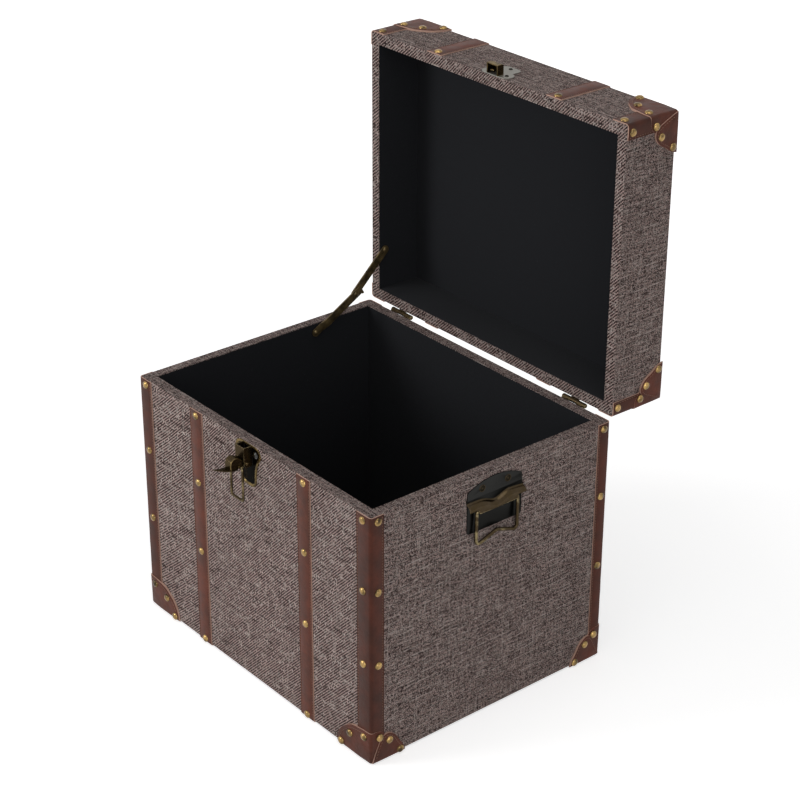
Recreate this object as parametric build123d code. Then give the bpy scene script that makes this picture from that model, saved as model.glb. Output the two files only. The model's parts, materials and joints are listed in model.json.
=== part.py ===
from build123d import *
import os
from math import atan2, cos, degrees, radians, sin, sqrt

# A storage trunk with a hinged lid, standing open. Millimetres, +Z up.
# The origin is the centre of the base. The front with the latch faces -Y, the hinges are at +Y.

# Trunk size over the cloth
body_width = 380.0
body_depth = 305.0
body_height = 277.0
lid_height = 66.0
rim_gap = 1.0

# Wall build-up
board_thick = 10.0
floor_thick = 8.0
cloth_thick = 1.0
lining_thick = 1.0
leather_thick = 1.2
patch_thick = 2.2
sheet_thick = 1.2
hem_width = 22.0
cloth_corner_radius = 2.5
cloth_edge_radius = 1.2

# Leather trim
strip_on_front = 20.0
strip_on_side = 15.0
strap_width = 21.0
strap_from_side = 101.0
strap_return = 9.0
trim_end_gap = 0.5
patch_height = 36.0
patch_front_reach = 50.0
patch_side_reach = 40.0
patch_under_reach = 38.0
patch_under_radius = 32.0
sheet_inset = 12.0
sheet_corner_cut = 45.0

# Domed tacks
tack_radius = 4.3
tack_rise = 2.0
tack_shank_radius = 0.8
tack_shank_length = 8.0
tack_drops = [6.5, 83.0, 164.5]
tack_low = 5.0
tack_from_front_edge = 10.8
tack_from_side_edge = 8.0
patch_tack_high = 29.0
patch_tack_mid_height = 21.5
patch_tack_front_mid = 31.0
patch_tack_front_end = 45.0
patch_tack_side_mid = 21.0
patch_tack_side_end = 34.5
patch_tack_corner = 9.0
lid_tack_from_rim = 6.5
lid_top_tack_places = [(10.0, 30.0), (24.0, 20.0), (33.0, 7.5)]

# Butt hinges
hinge_from_side = 53.0
hinge_length = 32.0
hinge_leaf_height = 18.0
hinge_leaf_thick = 1.0
hinge_pin_radius = 1.2
hinge_pin_behind = 3.0
knuckle_radius = 2.5
knuckle_gap = 0.2
knuckle_clear = 0.3
pin_clear = 0.05
pin_head_radius = 1.9
pin_head_length = 0.8
hinge_screw_spread = 18.0
hinge_screw_drop = 12.0

# Small screws and rivets
screw_head_radius = 2.2
screw_head_rise = 1.1
screw_shank_radius = 1.1
screw_hole_clear = 0.1
screw_length = 8.0

# Latch on the front: outward distances are from the cloth
latch_plate_thick = 1.0
latch_plate_half = 12.5
latch_plate_top = 0.5
latch_plate_length = 49.0
latch_ear_radius = 8.0
latch_ear_drop = 8.5
latch_ear_offset = 12.5
latch_plate_round = 8.0
socket_half = 7.2
socket_wall = 1.0
socket_out = 11.0
socket_front_length = 12.5
socket_cheek_length = 22.0
socket_top = 0.5
cheek_round = 4.0
lever_pivot_out = 8.0
lever_pivot_drop = 18.0
lever_side_clear = 0.2
lever_barrel_radius = 2.6
lever_arm_half = 2.1
lever_pin_radius = 1.0
bail_pivot_out = 15.0
bail_pivot_drop = 20.0
bail_barrel_radius = 1.9
lever_arm_end_half = 1.0
lever_tip_out = 40.0
lever_tip_drop = 15.6
lever_leaf_thick = 1.6
lever_hump_out = 18.0
lever_hump_drop = 9.6
lever_hump_end_out = 24.5
lever_hump_half = 5.0
lever_tip_half = 1.6
bail_wire_radius = 0.9
bail_hood_clear = 0.8
bail_hook_clear = 0.3
bail_bend = 2.4
bail_stub_in = 3.0
latch_rivet_radius = 3.0
latch_rivet_rise = 1.9

# Keeper on the lid
keeper_length = 31.0
keeper_top_round = 6.0
hood_half = 8.0
hood_out = 12.0
hood_low = 1.0
hood_length = 8.0
hood_wall = 1.0
hood_round = 2.0
tongue_half = 2.5
tongue_thick = 1.0
tongue_out = 5.0
keeper_screw_high = 25.5
keeper_screw_side = 13.5
keeper_screw_low = 8.0

# Side handles: outward distances are from the cloth
handle_plate_half = 35.0
handle_plate_thick = 1.0
handle_plate_low_drop = 62.0
handle_plate_side_drop = 16.5
handle_plate_apex_drop = 7.5
handle_corner = 2.5
lip_out = 8.5
lip_top_drop = 24.0
lip_low_drop = 38.5
lip_flare_half = 36.0
lip_leg_clear = 1.05
lip_flare_clear = 0.55
lip_thick = 1.0
handle_pivot_out = 4.8
handle_pivot_drop = 37.0
handle_wire_radius = 1.15
handle_bail_half = 26.5
handle_bail_drop = 38.0
handle_bail_middle = 29.0
handle_stub_in = 9.0
handle_end_bend = 2.3
handle_corner_bend = 4.0
handle_middle_bend = 7.0
handle_lug_offset = 20.0
handle_lug_thick = 1.6
handle_lug_half = 2.4
handle_rivet_offset = 16.5
handle_rivet_drop = 16.5
handle_rivet_radius = 3.0
handle_rivet_rise = 1.4
rivet_shank_radius = 1.4
rivet_shank_length = 7.0

# Folding lid stay on the left inner wall
stay_body_from_back = 86.5
stay_body_pivot_drop = 10.5
stay_elbow_from_back = 32.0
stay_elbow_rise = 20.5
stay_lid_from_mouth = 7.2
stay_lid_from_back = 58.0
stay_arm_half = 4.3
stay_arm_thick = 1.6
stay_wall_gap = 0.8
stay_arm_gap = 0.2
stay_joggle_start = 9.0
stay_joggle_end = 16.0
stay_tail = 9.0
stay_lug_thick = 1.6
stay_lug_clear = 0.3
stay_rivet_radius = 1.9
stay_rivet_head = 3.2
stay_rivet_rise = 1.2
stay_shoulder_radius = 3.6
stay_open_gap = 0.3

# Worked out from the sizes above
half_width = body_width / 2
half_depth = body_depth / 2
wall = cloth_thick + board_thick + lining_thick
hinge_offset = half_width - hinge_from_side
strap_offset = half_width - strap_from_side
board_low = sheet_thick + cloth_thick
floor_top = board_low + floor_thick
lid_rim = body_height + rim_gap
lid_top = lid_rim + lid_height
pin_y = half_depth + hinge_pin_behind
pin_z = body_height + rim_gap / 2
tack_heights = [body_height - drop for drop in tack_drops]
lever_z = body_height - lever_pivot_drop
bail_z = body_height - bail_pivot_drop
bail_half = hood_half + bail_hood_clear + bail_wire_radius
hood_high = lid_rim + hood_low + hood_length
latched_bail_z = lever_z - (bail_pivot_out - lever_pivot_out)
bail_length = hood_high + bail_hook_clear + bail_wire_radius - latched_bail_z
handle_pivot_height = body_height - handle_pivot_drop
lip_half = handle_bail_half - handle_wire_radius - lip_leg_clear
lip_flare_low = handle_pivot_height + handle_wire_radius + lip_flare_clear
lip_top = body_height - lip_top_drop
lip_low = body_height - lip_low_drop


def block(x0, x1, y0, y1, z0, z1):
    """A box between two corners."""
    middle = Pos((x0 + x1) / 2, (y0 + y1) / 2, (z0 + z1) / 2)
    return middle * Box(x1 - x0, y1 - y0, z1 - z0)


def open_lid(shape):
    """Turns a lid piece from its closed place to the open place it rests in."""
    return shape.rotate(Axis((0, pin_y, pin_z), (1, 0, 0)), -90)


def mirrored_x(shape):
    return shape.mirror(Plane.YZ)


def mirrored_y(shape):
    return shape.mirror(Plane.XZ)


def save(name, solids):
    """Writes one node; several solids stay separate in it."""
    pieces = solids if isinstance(solids, list) else [solids]
    shape = pieces[0] if len(pieces) == 1 else Compound(children=pieces)
    export_step(shape, f"parts/{name}.step")


def blank(grow, z0, z1, round_low, round_high):
    """The trunk's outside, grown by a trim thickness, with its edges rounded."""
    solid = block(-half_width - grow, half_width + grow, -half_depth - grow, half_depth + grow, z0, z1)
    solid = fillet(solid.edges().filter_by(Axis.Z), cloth_corner_radius + grow)
    if round_low > 0:
        solid = fillet(solid.faces().sort_by(Axis.Z)[0].edges(), round_low)
    if round_high > 0:
        solid = fillet(solid.faces().sort_by(Axis.Z)[-1].edges(), round_high)
    return solid


# Boards, cloth and lining


def wall_boards(z0, z1):
    """Front, back, left and right boards between two heights."""
    out_x = half_width - cloth_thick
    out_y = half_depth - cloth_thick
    in_x = out_x - board_thick
    in_y = out_y - board_thick
    front = block(-out_x, out_x, -out_y, -in_y, z0, z1)
    back = block(-out_x, out_x, in_y, out_y, z0, z1)
    left = block(-out_x, -in_x, -in_y, in_y, z0, z1)
    right = block(in_x, out_x, -in_y, in_y, z0, z1)
    return {"front": front, "back": back, "left": left, "right": right}


def boards_space(z0, z1):
    out_x = half_width - cloth_thick
    out_y = half_depth - cloth_thick
    return block(-out_x, out_x, -out_y, out_y, z0, z1)


def inside_walls(z0, z1, shrink):
    """The space inside the walls, less a margin on each side."""
    in_x = half_width - shrink
    in_y = half_depth - shrink
    return block(-in_x, in_x, -in_y, in_y, z0, z1)


body_cloth_blank = blank(0, sheet_thick, body_height, cloth_edge_radius, cloth_edge_radius)
lid_cloth_blank = blank(0, lid_rim, lid_top, cloth_edge_radius, cloth_edge_radius)


def body_cover():
    """Cloth over the outside, the rim and a hem under the floor."""
    cover = body_cloth_blank - boards_space(board_low, body_height - cloth_thick)
    cover -= inside_walls(board_low, body_height + 1, wall)
    return cover - inside_walls(0, board_low, hem_width)


def body_lining():
    outer = inside_walls(floor_top, body_height - cloth_thick, wall - lining_thick)
    return outer - inside_walls(floor_top + lining_thick, body_height, wall)


def base_sheet():
    sheet = inside_walls(0, sheet_thick, sheet_inset)
    return chamfer(sheet.edges().filter_by(Axis.Z), sheet_corner_cut)


def lid_cover():
    cover = lid_cloth_blank - boards_space(lid_rim + cloth_thick, lid_top - cloth_thick)
    return cover - inside_walls(lid_rim - 1, lid_top - cloth_thick, wall)


def lid_lining():
    low = lid_rim + cloth_thick
    high = lid_top - cloth_thick - board_thick
    outer = inside_walls(low, high, wall - lining_thick)
    return outer - inside_walls(low, high - lining_thick, wall)


# Leather strips, straps and corner patches


def corner_strip(z0, z1):
    """An angle of leather on the front right upright edge."""
    shell = blank(leather_thick, z0, z1, 0, 0) - blank(0, z0 - 1, z1 + 1, 0, 0)
    column = block(half_width - strip_on_front, half_width + leather_thick,
                   -half_depth - leather_thick, -half_depth + strip_on_side, z0, z1)
    return shell & column


def body_strap():
    """A strap down the front at +X, turned under the base."""
    outer_edge = cloth_edge_radius + leather_thick
    outer = blank(leather_thick, 0, body_height - trim_end_gap, outer_edge, 0)
    column = block(strap_offset - strap_width / 2, strap_offset + strap_width / 2,
                   -half_depth - leather_thick, -half_depth + strap_return, 0, body_height)
    return (outer - body_cloth_blank) & column


def lid_strap():
    """A strap over the front, top and back of the lid at +X, closed."""
    outer_edge = cloth_edge_radius + leather_thick
    outer = blank(leather_thick, lid_rim + trim_end_gap, lid_top + leather_thick, 0, outer_edge)
    column = block(strap_offset - strap_width / 2, strap_offset + strap_width / 2,
                   -half_depth - leather_thick, half_depth + leather_thick, lid_rim, lid_top + leather_thick)
    return (outer - lid_cloth_blank) & column


def lobe(reach, radius, centre, along, through, depth):
    """One round-ended lobe of a patch: a box to the arc's centre joined to a disc.

    The lobe lies at the front right corner. along is the axis it reaches out on,
    through is the axis it is extruded on, and centre is the corner it starts from.
    """
    straight = reach - radius
    corner = Vector(centre)
    sign = Vector(-1, 0, 0) if along == "x" else Vector(0, 1, 0)
    turn = {"x": Rot(0, 90, 0), "y": Rot(90, 0, 0), "z": Rot(0, 0, 0)}[through]
    disc_at = corner + sign * straight
    disc = Pos(disc_at.X, disc_at.Y, disc_at.Z) * turn * Cylinder(radius, depth * 2)
    spans = {"x": [depth * 2, straight, radius * 2], "y": [straight, depth * 2, radius * 2],
             "z": [straight, radius * 2, depth * 2]}[through]
    box_at = corner + sign * (straight / 2)
    return disc + Pos(box_at.X, box_at.Y, box_at.Z) * Box(*spans)


def corner_patch(z_corner, z_outer, z_low, z_high, flat_z):
    """A leather patch on the front right corner where z_corner is the cloth's end face."""
    outer_edge = cloth_edge_radius + leather_thick
    round_low = outer_edge if flat_z < z_corner else 0
    round_high = outer_edge if flat_z > z_corner else 0
    outer = blank(patch_thick, z_low, z_high, round_low, round_high)
    depth = patch_thick
    front = lobe(patch_front_reach, patch_height, (half_width, -half_depth - depth / 2, z_corner), "x", "y", depth / 2)
    side = lobe(patch_side_reach, patch_height, (half_width + depth / 2, -half_depth, z_corner), "y", "x", depth / 2)
    flat = lobe(patch_under_reach, patch_under_radius, (half_width, -half_depth, (z_corner + z_outer) / 2),
                "x", "z", abs(z_outer - z_corner) / 2)
    corner = block(half_width, half_width + depth, -half_depth - depth, -half_depth,
                   min(z_outer, z_corner - patch_height if z_outer > z_corner else z_outer),
                   max(z_outer, z_corner + patch_height if z_outer < z_corner else z_outer))
    edge_x = block(half_width - patch_under_reach, half_width + depth, -half_depth - depth, -half_depth,
                   min(z_corner, z_outer), max(z_corner, z_outer))
    edge_y = block(half_width, half_width + depth, -half_depth - depth, -half_depth + patch_under_radius,
                   min(z_corner, z_outer), max(z_corner, z_outer))
    return outer & (front + side + flat + corner + edge_x + edge_y)


def body_patch():
    patch = corner_patch(sheet_thick, 0, 0, body_height / 2, -1)
    return patch - body_cloth_blank - corner_strip(sheet_thick, body_height)


def lid_patch():
    patch = corner_patch(lid_top, lid_top + patch_thick, lid_rim, lid_top + patch_thick, lid_top + 1)
    return patch - lid_cloth_blank - corner_strip(lid_rim, lid_top)


# Tacks, rivets and screws


def dome(radius, rise):
    """A cap standing on z = 0, flat below."""
    ball = (radius * radius + rise * rise) / (2 * rise)
    sphere = Pos(0, 0, rise - ball) * Sphere(ball)
    return sphere & block(-radius, radius, -radius, radius, 0, rise)


def fastener(radius, rise, shank_radius, shank_length):
    shank = Pos(0, 0, -shank_length / 2) * Cylinder(shank_radius, shank_length)
    return dome(radius, rise) + shank


def placed(shape, point, outward):
    """Stands a fastener made along +Z on a point, facing outward."""
    return Plane(origin=point, z_dir=outward).location * shape


def tack(point, outward):
    return placed(fastener(tack_radius, tack_rise, tack_shank_radius, tack_shank_length), point, outward)


def corner_tacks(heights, patch_at, up):
    """Tacks of the front right corner: strip heights, then the patch on both faces."""
    front_y = -half_depth - leather_thick
    side_x = half_width + leather_thick
    places = []
    for height in heights:
        places.append(((half_width - tack_from_front_edge, front_y, height), (0, -1, 0)))
        places.append(((side_x, -half_depth + tack_from_side_edge, height), (1, 0, 0)))
    front_y = -half_depth - patch_thick
    side_x = half_width + patch_thick
    front = [(patch_tack_corner, patch_tack_high), (patch_tack_front_mid, patch_tack_mid_height),
             (patch_tack_front_end, tack_low)]
    side = [(patch_tack_corner, patch_tack_high), (patch_tack_side_mid, patch_tack_mid_height),
            (patch_tack_side_end, tack_low)]
    for inward, rise in front:
        places.append(((half_width - inward, front_y, patch_at + up * rise), (0, -1, 0)))
    for inward, rise in side:
        places.append(((side_x, -half_depth + inward, patch_at + up * rise), (1, 0, 0)))
    return [tack(point, outward) for point, outward in places]


def all_corners(pieces):
    """Copies front right pieces to all four corners."""
    right = pieces + [mirrored_y(piece) for piece in pieces]
    return right + [mirrored_x(piece) for piece in right]


def body_tacks():
    corner = all_corners(corner_tacks(tack_heights, 0, 1))
    strap = []
    for height in tack_heights + [tack_low]:
        for side in (-1, 1):
            strap.append(tack((side * strap_offset, -half_depth - leather_thick, height), (0, -1, 0)))
    return corner + strap


def lid_tacks():
    """Tacks of the closed lid, with three more on each top lobe."""
    corner = corner_tacks([lid_rim + lid_tack_from_rim], lid_top, -1)
    top_z = lid_top + patch_thick
    for inward, back in lid_top_tack_places:
        corner.append(tack((half_width - inward, -half_depth + back, top_z), (0, 0, 1)))
    solids = all_corners(corner)
    for side in (-1, 1):
        for face in (-1, 1):
            point = (side * strap_offset, face * (half_depth + leather_thick), lid_rim + lid_tack_from_rim)
            solids.append(tack(point, (0, face, 0)))
    return [open_lid(solid) for solid in solids]


def screw(point, outward):
    return placed(fastener(screw_head_radius, screw_head_rise, screw_shank_radius, screw_length), point, outward)


def screw_hole(point, outward, length):
    hole = Cylinder(screw_shank_radius + screw_hole_clear, length * 2)
    return placed(hole, point, outward)


# Butt hinges


def along_x(radius, x0, x1, y, z):
    """A round bar along X between two places."""
    return Pos((x0 + x1) / 2, y, z) * Rot(0, 90, 0) * Cylinder(radius, x1 - x0)


def knuckle_spans(centre_x):
    """Three knuckles along the pin: body, lid, body."""
    length = (hinge_length - 2 * knuckle_gap) / 3
    start = centre_x - hinge_length / 2
    return [(start + step * (length + knuckle_gap), start + step * (length + knuckle_gap) + length)
            for step in range(3)]


def hinge_screw_points(centre_x, z):
    face_y = half_depth + hinge_leaf_thick
    return [(centre_x + side * hinge_screw_spread / 2, face_y, z) for side in (-1, 1)]


def hinge_leaf(centre_x, own, other, up):
    """A leaf on the back face with its knuckles; up is 1 on the lid and -1 on the body."""
    edge = pin_z + up * (knuckle_radius + knuckle_clear)
    far = pin_z + up * hinge_leaf_height
    leaf = block(centre_x - hinge_length / 2, centre_x + hinge_length / 2, half_depth,
                 half_depth + hinge_leaf_thick, min(pin_z, far), max(pin_z, far))
    for x0, x1 in other:
        leaf -= block(x0 - knuckle_gap, x1 + knuckle_gap, half_depth - 1,
                      half_depth + hinge_leaf_thick + 1, min(pin_z, edge) - 1, max(pin_z, edge))
    for x0, x1 in own:
        leaf += along_x(knuckle_radius, x0, x1, pin_y, pin_z)
    for x0, x1 in own:
        leaf -= along_x(hinge_pin_radius + pin_clear, x0 - 1, x1 + 1, pin_y, pin_z)
    for point in hinge_screw_points(centre_x, pin_z + up * hinge_screw_drop):
        leaf -= screw_hole(point, (0, 1, 0), hinge_leaf_thick * 2)
    return leaf


def hinge_pin(centre_x):
    half = hinge_length / 2
    pin = along_x(hinge_pin_radius, centre_x - half, centre_x + half, pin_y, pin_z)
    for side in (-1, 1):
        end = centre_x + side * half
        outer = end + side * pin_head_length
        pin += along_x(pin_head_radius, min(end, outer), max(end, outer), pin_y, pin_z)
    return pin


def hinges():
    nodes = {"hinge_body_leaves": [], "hinge_lid_leaves": [], "hinge_pins": [],
             "hinge_body_screws": [], "hinge_lid_screws": []}
    for side in (-1, 1):
        centre_x = side * hinge_offset
        first, middle, last = knuckle_spans(centre_x)
        nodes["hinge_body_leaves"].append(hinge_leaf(centre_x, [first, last], [middle], -1))
        nodes["hinge_lid_leaves"].append(open_lid(hinge_leaf(centre_x, [middle], [first, last], 1)))
        nodes["hinge_pins"].append(hinge_pin(centre_x))
        for point in hinge_screw_points(centre_x, pin_z - hinge_screw_drop):
            nodes["hinge_body_screws"].append(screw(point, (0, 1, 0)))
        for point in hinge_screw_points(centre_x, pin_z + hinge_screw_drop):
            nodes["hinge_lid_screws"].append(open_lid(screw(point, (0, 1, 0))))
    return nodes


# Latch


def front_face(sketch, thickness, start=0.0):
    """Stands a sketch drawn in X and Z on the front face and thickens it outwards."""
    plane = Plane(origin=(0, -half_depth - start, 0), x_dir=(1, 0, 0), z_dir=(0, -1, 0))
    return extrude(plane * sketch, thickness)


def side_profile(points, half):
    """Extrudes an outline given as outward distance and height, to both sides of x = 0."""
    outline = [(-half_depth - out, height) for out, height in points]
    face = make_face(Polyline(*outline, close=True))
    plane = Plane(origin=(-half, 0, 0), x_dir=(0, 1, 0), z_dir=(1, 0, 0))
    return extrude(plane * face, half * 2)


latch_top = body_height - latch_plate_top
socket_high = body_height - socket_top
lever_y = -half_depth - lever_pivot_out
bail_y = -half_depth - bail_pivot_out


def eared_plate(top, bottom, ear_z, round_radius):
    """A plate with two round ears beside ear_z and rounded far corners."""
    height = top - bottom
    strip = Pos(0, (top + bottom) / 2) * Rectangle(latch_plate_half * 2, height)
    far = strip.vertices().sort_by(Axis.Y)
    ears_above = ear_z > (top + bottom) / 2
    strip = fillet(far[:2] if ears_above else far[-2:], round_radius)
    for side in (-1, 1):
        strip += Pos(side * latch_ear_offset, ear_z) * Circle(latch_ear_radius)
    return strip


def latch_rivet_points():
    out_y = -half_depth - latch_plate_thick
    return [(side * latch_ear_offset, out_y, latch_top - latch_ear_drop) for side in (-1, 1)]


def latch_base_plate():
    sketch = eared_plate(latch_top, latch_top - latch_plate_length, latch_top - latch_ear_drop, latch_plate_round)
    plate = front_face(sketch, latch_plate_thick)
    for point in latch_rivet_points():
        plate -= placed(Cylinder(rivet_shank_radius + screw_hole_clear, latch_plate_thick * 4), point, (0, -1, 0))
    return plate


def latch_socket():
    """Front wall and two cheeks, open at the top and below."""
    start = -half_depth - latch_plate_thick
    end = -half_depth - socket_out
    low = socket_high - socket_cheek_length
    solid = block(-socket_half, socket_half, end, start, low, socket_high)
    inner = socket_half - socket_wall
    solid -= block(-inner, inner, end + socket_wall, start + 1, low - 1, socket_high + 1)
    solid -= block(-inner, inner, end - 1, start + 1, low - 1, socket_high - socket_front_length)
    lower = solid.edges().filter_by(Axis.X).group_by(Axis.Z)[0].sort_by(Axis.Y)
    solid = fillet(lower[:2], cheek_round)
    return solid - along_x(lever_pin_radius, -socket_half - 1, socket_half + 1, lever_y, lever_z)


def latch_pivot_pin():
    reach = socket_half + socket_wall
    pin = along_x(lever_pin_radius, -reach, reach, lever_y, lever_z)
    for side in (-1, 1):
        inner = side * socket_half
        outer = side * reach
        pin += along_x(lever_pin_radius + socket_wall / 2, min(inner, outer), max(inner, outer), lever_y, lever_z)
    return pin


def latch_lever():
    """Pivot barrel, arm to the bail barrel, a hump, and a thumb leaf that tapers to its tip."""
    inner = socket_half - socket_wall - lever_side_clear
    leaf_drop = lever_tip_drop + lever_leaf_thick
    arm = side_profile([
        (lever_pivot_out, lever_z + lever_arm_half),
        (lever_hump_out, body_height - lever_hump_drop),
        (lever_hump_end_out, body_height - lever_tip_drop + lever_leaf_thick),
        (lever_hump_end_out, body_height - leaf_drop),
        (bail_pivot_out, bail_z - lever_arm_end_half),
        (lever_pivot_out, lever_z - lever_arm_half)], lever_hump_half)
    leaf = side_profile([
        (bail_pivot_out, body_height - lever_tip_drop + lever_leaf_thick),
        (lever_tip_out, body_height - lever_tip_drop),
        (lever_tip_out, body_height - leaf_drop),
        (bail_pivot_out, body_height - leaf_drop - lever_leaf_thick)], inner)
    leaf &= leaf_plan(inner)
    solid = arm + leaf
    solid += along_x(lever_barrel_radius, -inner, inner, lever_y, lever_z)
    solid += along_x(bail_barrel_radius, -inner, inner, bail_y, bail_z)
    solid -= along_x(lever_pin_radius + pin_clear, -inner - 1, inner + 1, lever_y, lever_z)
    return solid - along_x(bail_wire_radius + pin_clear, -inner - 1, inner + 1, bail_y, bail_z)


def leaf_plan(inner):
    """The thumb leaf seen from above: parallel near the hump, tapered to a blunt point."""
    back = -half_depth - bail_pivot_out
    shoulder = -half_depth - lever_hump_end_out
    tip = -half_depth - lever_tip_out
    outline = [(-inner, back), (inner, back), (inner, shoulder), (lever_tip_half, tip),
               (-lever_tip_half, tip), (-inner, shoulder)]
    face = make_face(Polyline(*outline, close=True))
    return extrude(Plane(origin=(0, 0, body_height - latch_plate_length)) * face, latch_plate_length)


def wire(points, radii, radius):
    """Round wire along a path with rounded corners."""
    path = FilletPolyline(*points, radius=radii)
    start = Plane(origin=path @ 0, z_dir=path % 0)
    return sweep(start * Circle(radius), path=path)


def latch_bail():
    low = bail_z - bail_length
    points = [(bail_stub_in, bail_y, bail_z), (bail_half, bail_y, bail_z), (bail_half, bail_y, low),
              (-bail_half, bail_y, low), (-bail_half, bail_y, bail_z), (-bail_stub_in, bail_y, bail_z)]
    return wire(points, bail_bend, bail_wire_radius)


def latch_rivets():
    rivet = fastener(latch_rivet_radius, latch_rivet_rise, rivet_shank_radius, rivet_shank_length)
    return [placed(rivet, point, (0, -1, 0)) for point in latch_rivet_points()]


# Keeper on the lid, made closed


def keeper_screw_points():
    out_y = -half_depth - latch_plate_thick
    low = lid_rim + keeper_screw_low
    return [(0, out_y, lid_rim + keeper_screw_high), (-keeper_screw_side, out_y, low),
            (keeper_screw_side, out_y, low)]


def keeper_plate():
    """An eared plate with a raised hood that the bail hooks over, open towards the rim."""
    bottom = lid_rim + hood_low / 2
    top = lid_rim + keeper_length
    ear_z = lid_rim + latch_ear_drop
    plate = front_face(eared_plate(top, bottom, ear_z, keeper_top_round), latch_plate_thick)
    low = lid_rim + hood_low
    start = -half_depth - latch_plate_thick
    end = -half_depth - hood_out
    hood = block(-hood_half, hood_half, end, start, low, hood_high)
    hood = fillet(hood.edges().filter_by(Axis.X).group_by(Axis.Z)[-1].sort_by(Axis.Y)[0], hood_round)
    inner = hood_half - hood_wall
    hood -= block(-inner, inner, end + hood_wall, start, low - 1, hood_high - hood_wall)
    tongue_y = -half_depth - tongue_out
    hood += block(-tongue_half, tongue_half, tongue_y - tongue_thick, tongue_y, low, hood_high)
    plate += hood
    for point in keeper_screw_points():
        plate -= screw_hole(point, (0, -1, 0), latch_plate_thick * 2)
    return open_lid(plate)


def keeper_screws():
    return [open_lid(screw(point, (0, -1, 0))) for point in keeper_screw_points()]


# Side handles, made on the right


def side_face(sketch, thickness):
    """Stands a sketch drawn in Y and Z on the right face and thickens it outwards."""
    plane = Plane(origin=(half_width, 0, 0), x_dir=(0, 1, 0), z_dir=(1, 0, 0))
    return extrude(plane * sketch, thickness)


def handle_rivet_points():
    out_x = half_width + handle_plate_thick
    return [(out_x, side * handle_rivet_offset, body_height - handle_rivet_drop) for side in (-1, 1)]


def handle_lip():
    """An awning that bends out and down over the bail's ends."""
    corner_radius = lip_out - handle_plate_thick
    bend_z = lip_top - corner_radius
    top_line = Line((handle_plate_thick, lip_top), (handle_plate_thick, lip_top - lip_thick))
    inner_arc = RadiusArc(top_line @ 1, (lip_out - lip_thick, bend_z), corner_radius - lip_thick)
    inner_line = Line(inner_arc @ 1, (lip_out - lip_thick, lip_low))
    low_line = Line(inner_line @ 1, (lip_out, lip_low))
    outer_line = Line(low_line @ 1, (lip_out, bend_z))
    outer_arc = RadiusArc(outer_line @ 1, top_line @ 0, -corner_radius)
    face = make_face(Wire([top_line, inner_arc, inner_line, low_line, outer_line, outer_arc]))
    plane = Plane(origin=(half_width, lip_flare_half, 0), x_dir=(1, 0, 0), z_dir=(0, -1, 0))
    lip = extrude(plane * face, lip_flare_half * 2)
    for side in (-1, 1):
        near = side * lip_half
        far = side * (lip_flare_half + 1)
        lip -= block(half_width, half_width + lip_out + 1, min(near, far), max(near, far), lip_low - 1, lip_flare_low)
    return lip


def handle_plate():
    """An arched plate with the lip and two pierced lugs for the bail."""
    low = body_height - handle_plate_low_drop
    high = body_height - handle_plate_side_drop
    left = Line((-handle_plate_half, high), (-handle_plate_half, low))
    bottom = Line(left @ 1, (handle_plate_half, low))
    right = Line(bottom @ 1, (handle_plate_half, high))
    arch = ThreePointArc(right @ 1, (0, body_height - handle_plate_apex_drop), left @ 0)
    sketch = make_face(Wire([left, bottom, right, arch]))
    sketch = fillet(sketch.vertices(), handle_corner)
    plate = side_face(sketch, handle_plate_thick) + handle_lip()
    lug_out = handle_pivot_out + handle_lug_half
    for side in (-1, 1):
        centre = side * handle_lug_offset
        plate += block(half_width + handle_plate_thick / 2, half_width + lug_out, centre - handle_lug_thick / 2,
                       centre + handle_lug_thick / 2, handle_pivot_height - handle_lug_half,
                       handle_pivot_height + handle_lug_half)
    hole = Rot(90, 0, 0) * Cylinder(handle_wire_radius + pin_clear, handle_plate_half * 2)
    plate -= Pos(half_width + handle_pivot_out, 0, handle_pivot_height) * hole
    for point in handle_rivet_points():
        plate -= placed(Cylinder(rivet_shank_radius + screw_hole_clear, handle_plate_thick * 4), point, (1, 0, 0))
    return plate


def handle_bail():
    x = half_width + handle_pivot_out
    top = handle_pivot_height
    low = top - handle_bail_drop
    stub = handle_bail_half - handle_stub_in
    points = [(x, stub, top), (x, handle_bail_half, top), (x, handle_bail_half, low),
              (x, 0, top - handle_bail_middle), (x, -handle_bail_half, low), (x, -handle_bail_half, top),
              (x, -stub, top)]
    radii = [handle_end_bend, handle_corner_bend, handle_middle_bend, handle_corner_bend, handle_end_bend]
    return wire(points, radii, handle_wire_radius)


def handle_rivets():
    rivet = fastener(handle_rivet_radius, handle_rivet_rise, rivet_shank_radius, rivet_shank_length)
    right = [placed(rivet, point, (1, 0, 0)) for point in handle_rivet_points()]
    return right + [mirrored_x(solid) for solid in right]


# Lid stay on the left inner wall

stay_wall_x = -half_width + wall
upper_x0 = stay_wall_x + stay_wall_gap
upper_x1 = upper_x0 + stay_arm_thick
lower_x0 = upper_x1 + stay_arm_gap
lower_x1 = lower_x0 + stay_arm_thick
body_pivot = (half_depth - stay_body_from_back, body_height - stay_body_pivot_drop)
elbow = (half_depth - stay_elbow_from_back, body_height + stay_elbow_rise)
lid_mouth_y = pin_y + (lid_rim - pin_z)
lid_low_z = pin_z + (pin_y - half_depth)
lid_pivot = (lid_mouth_y + stay_lid_from_mouth, lid_low_z + stay_lid_from_back)


def arm_bar(start, along, x0, x1, a0, a1):
    """A flat bar beside the wall: from a0 to a1 along the line from start in direction along."""
    bar = block(x0, x1, a0, a1, -stay_arm_half, stay_arm_half)
    return Pos(0, start[0], start[1]) * Rot(along, 0, 0) * bar


def arm_end(centre, x0, x1):
    return along_x(stay_arm_half, x0, x1, centre[0], centre[1])


def bearing(from_point, to_point):
    return degrees(atan2(to_point[1] - from_point[1], to_point[0] - from_point[0]))


def span(from_point, to_point):
    return sqrt((to_point[0] - from_point[0]) ** 2 + (to_point[1] - from_point[1]) ** 2)


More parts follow.
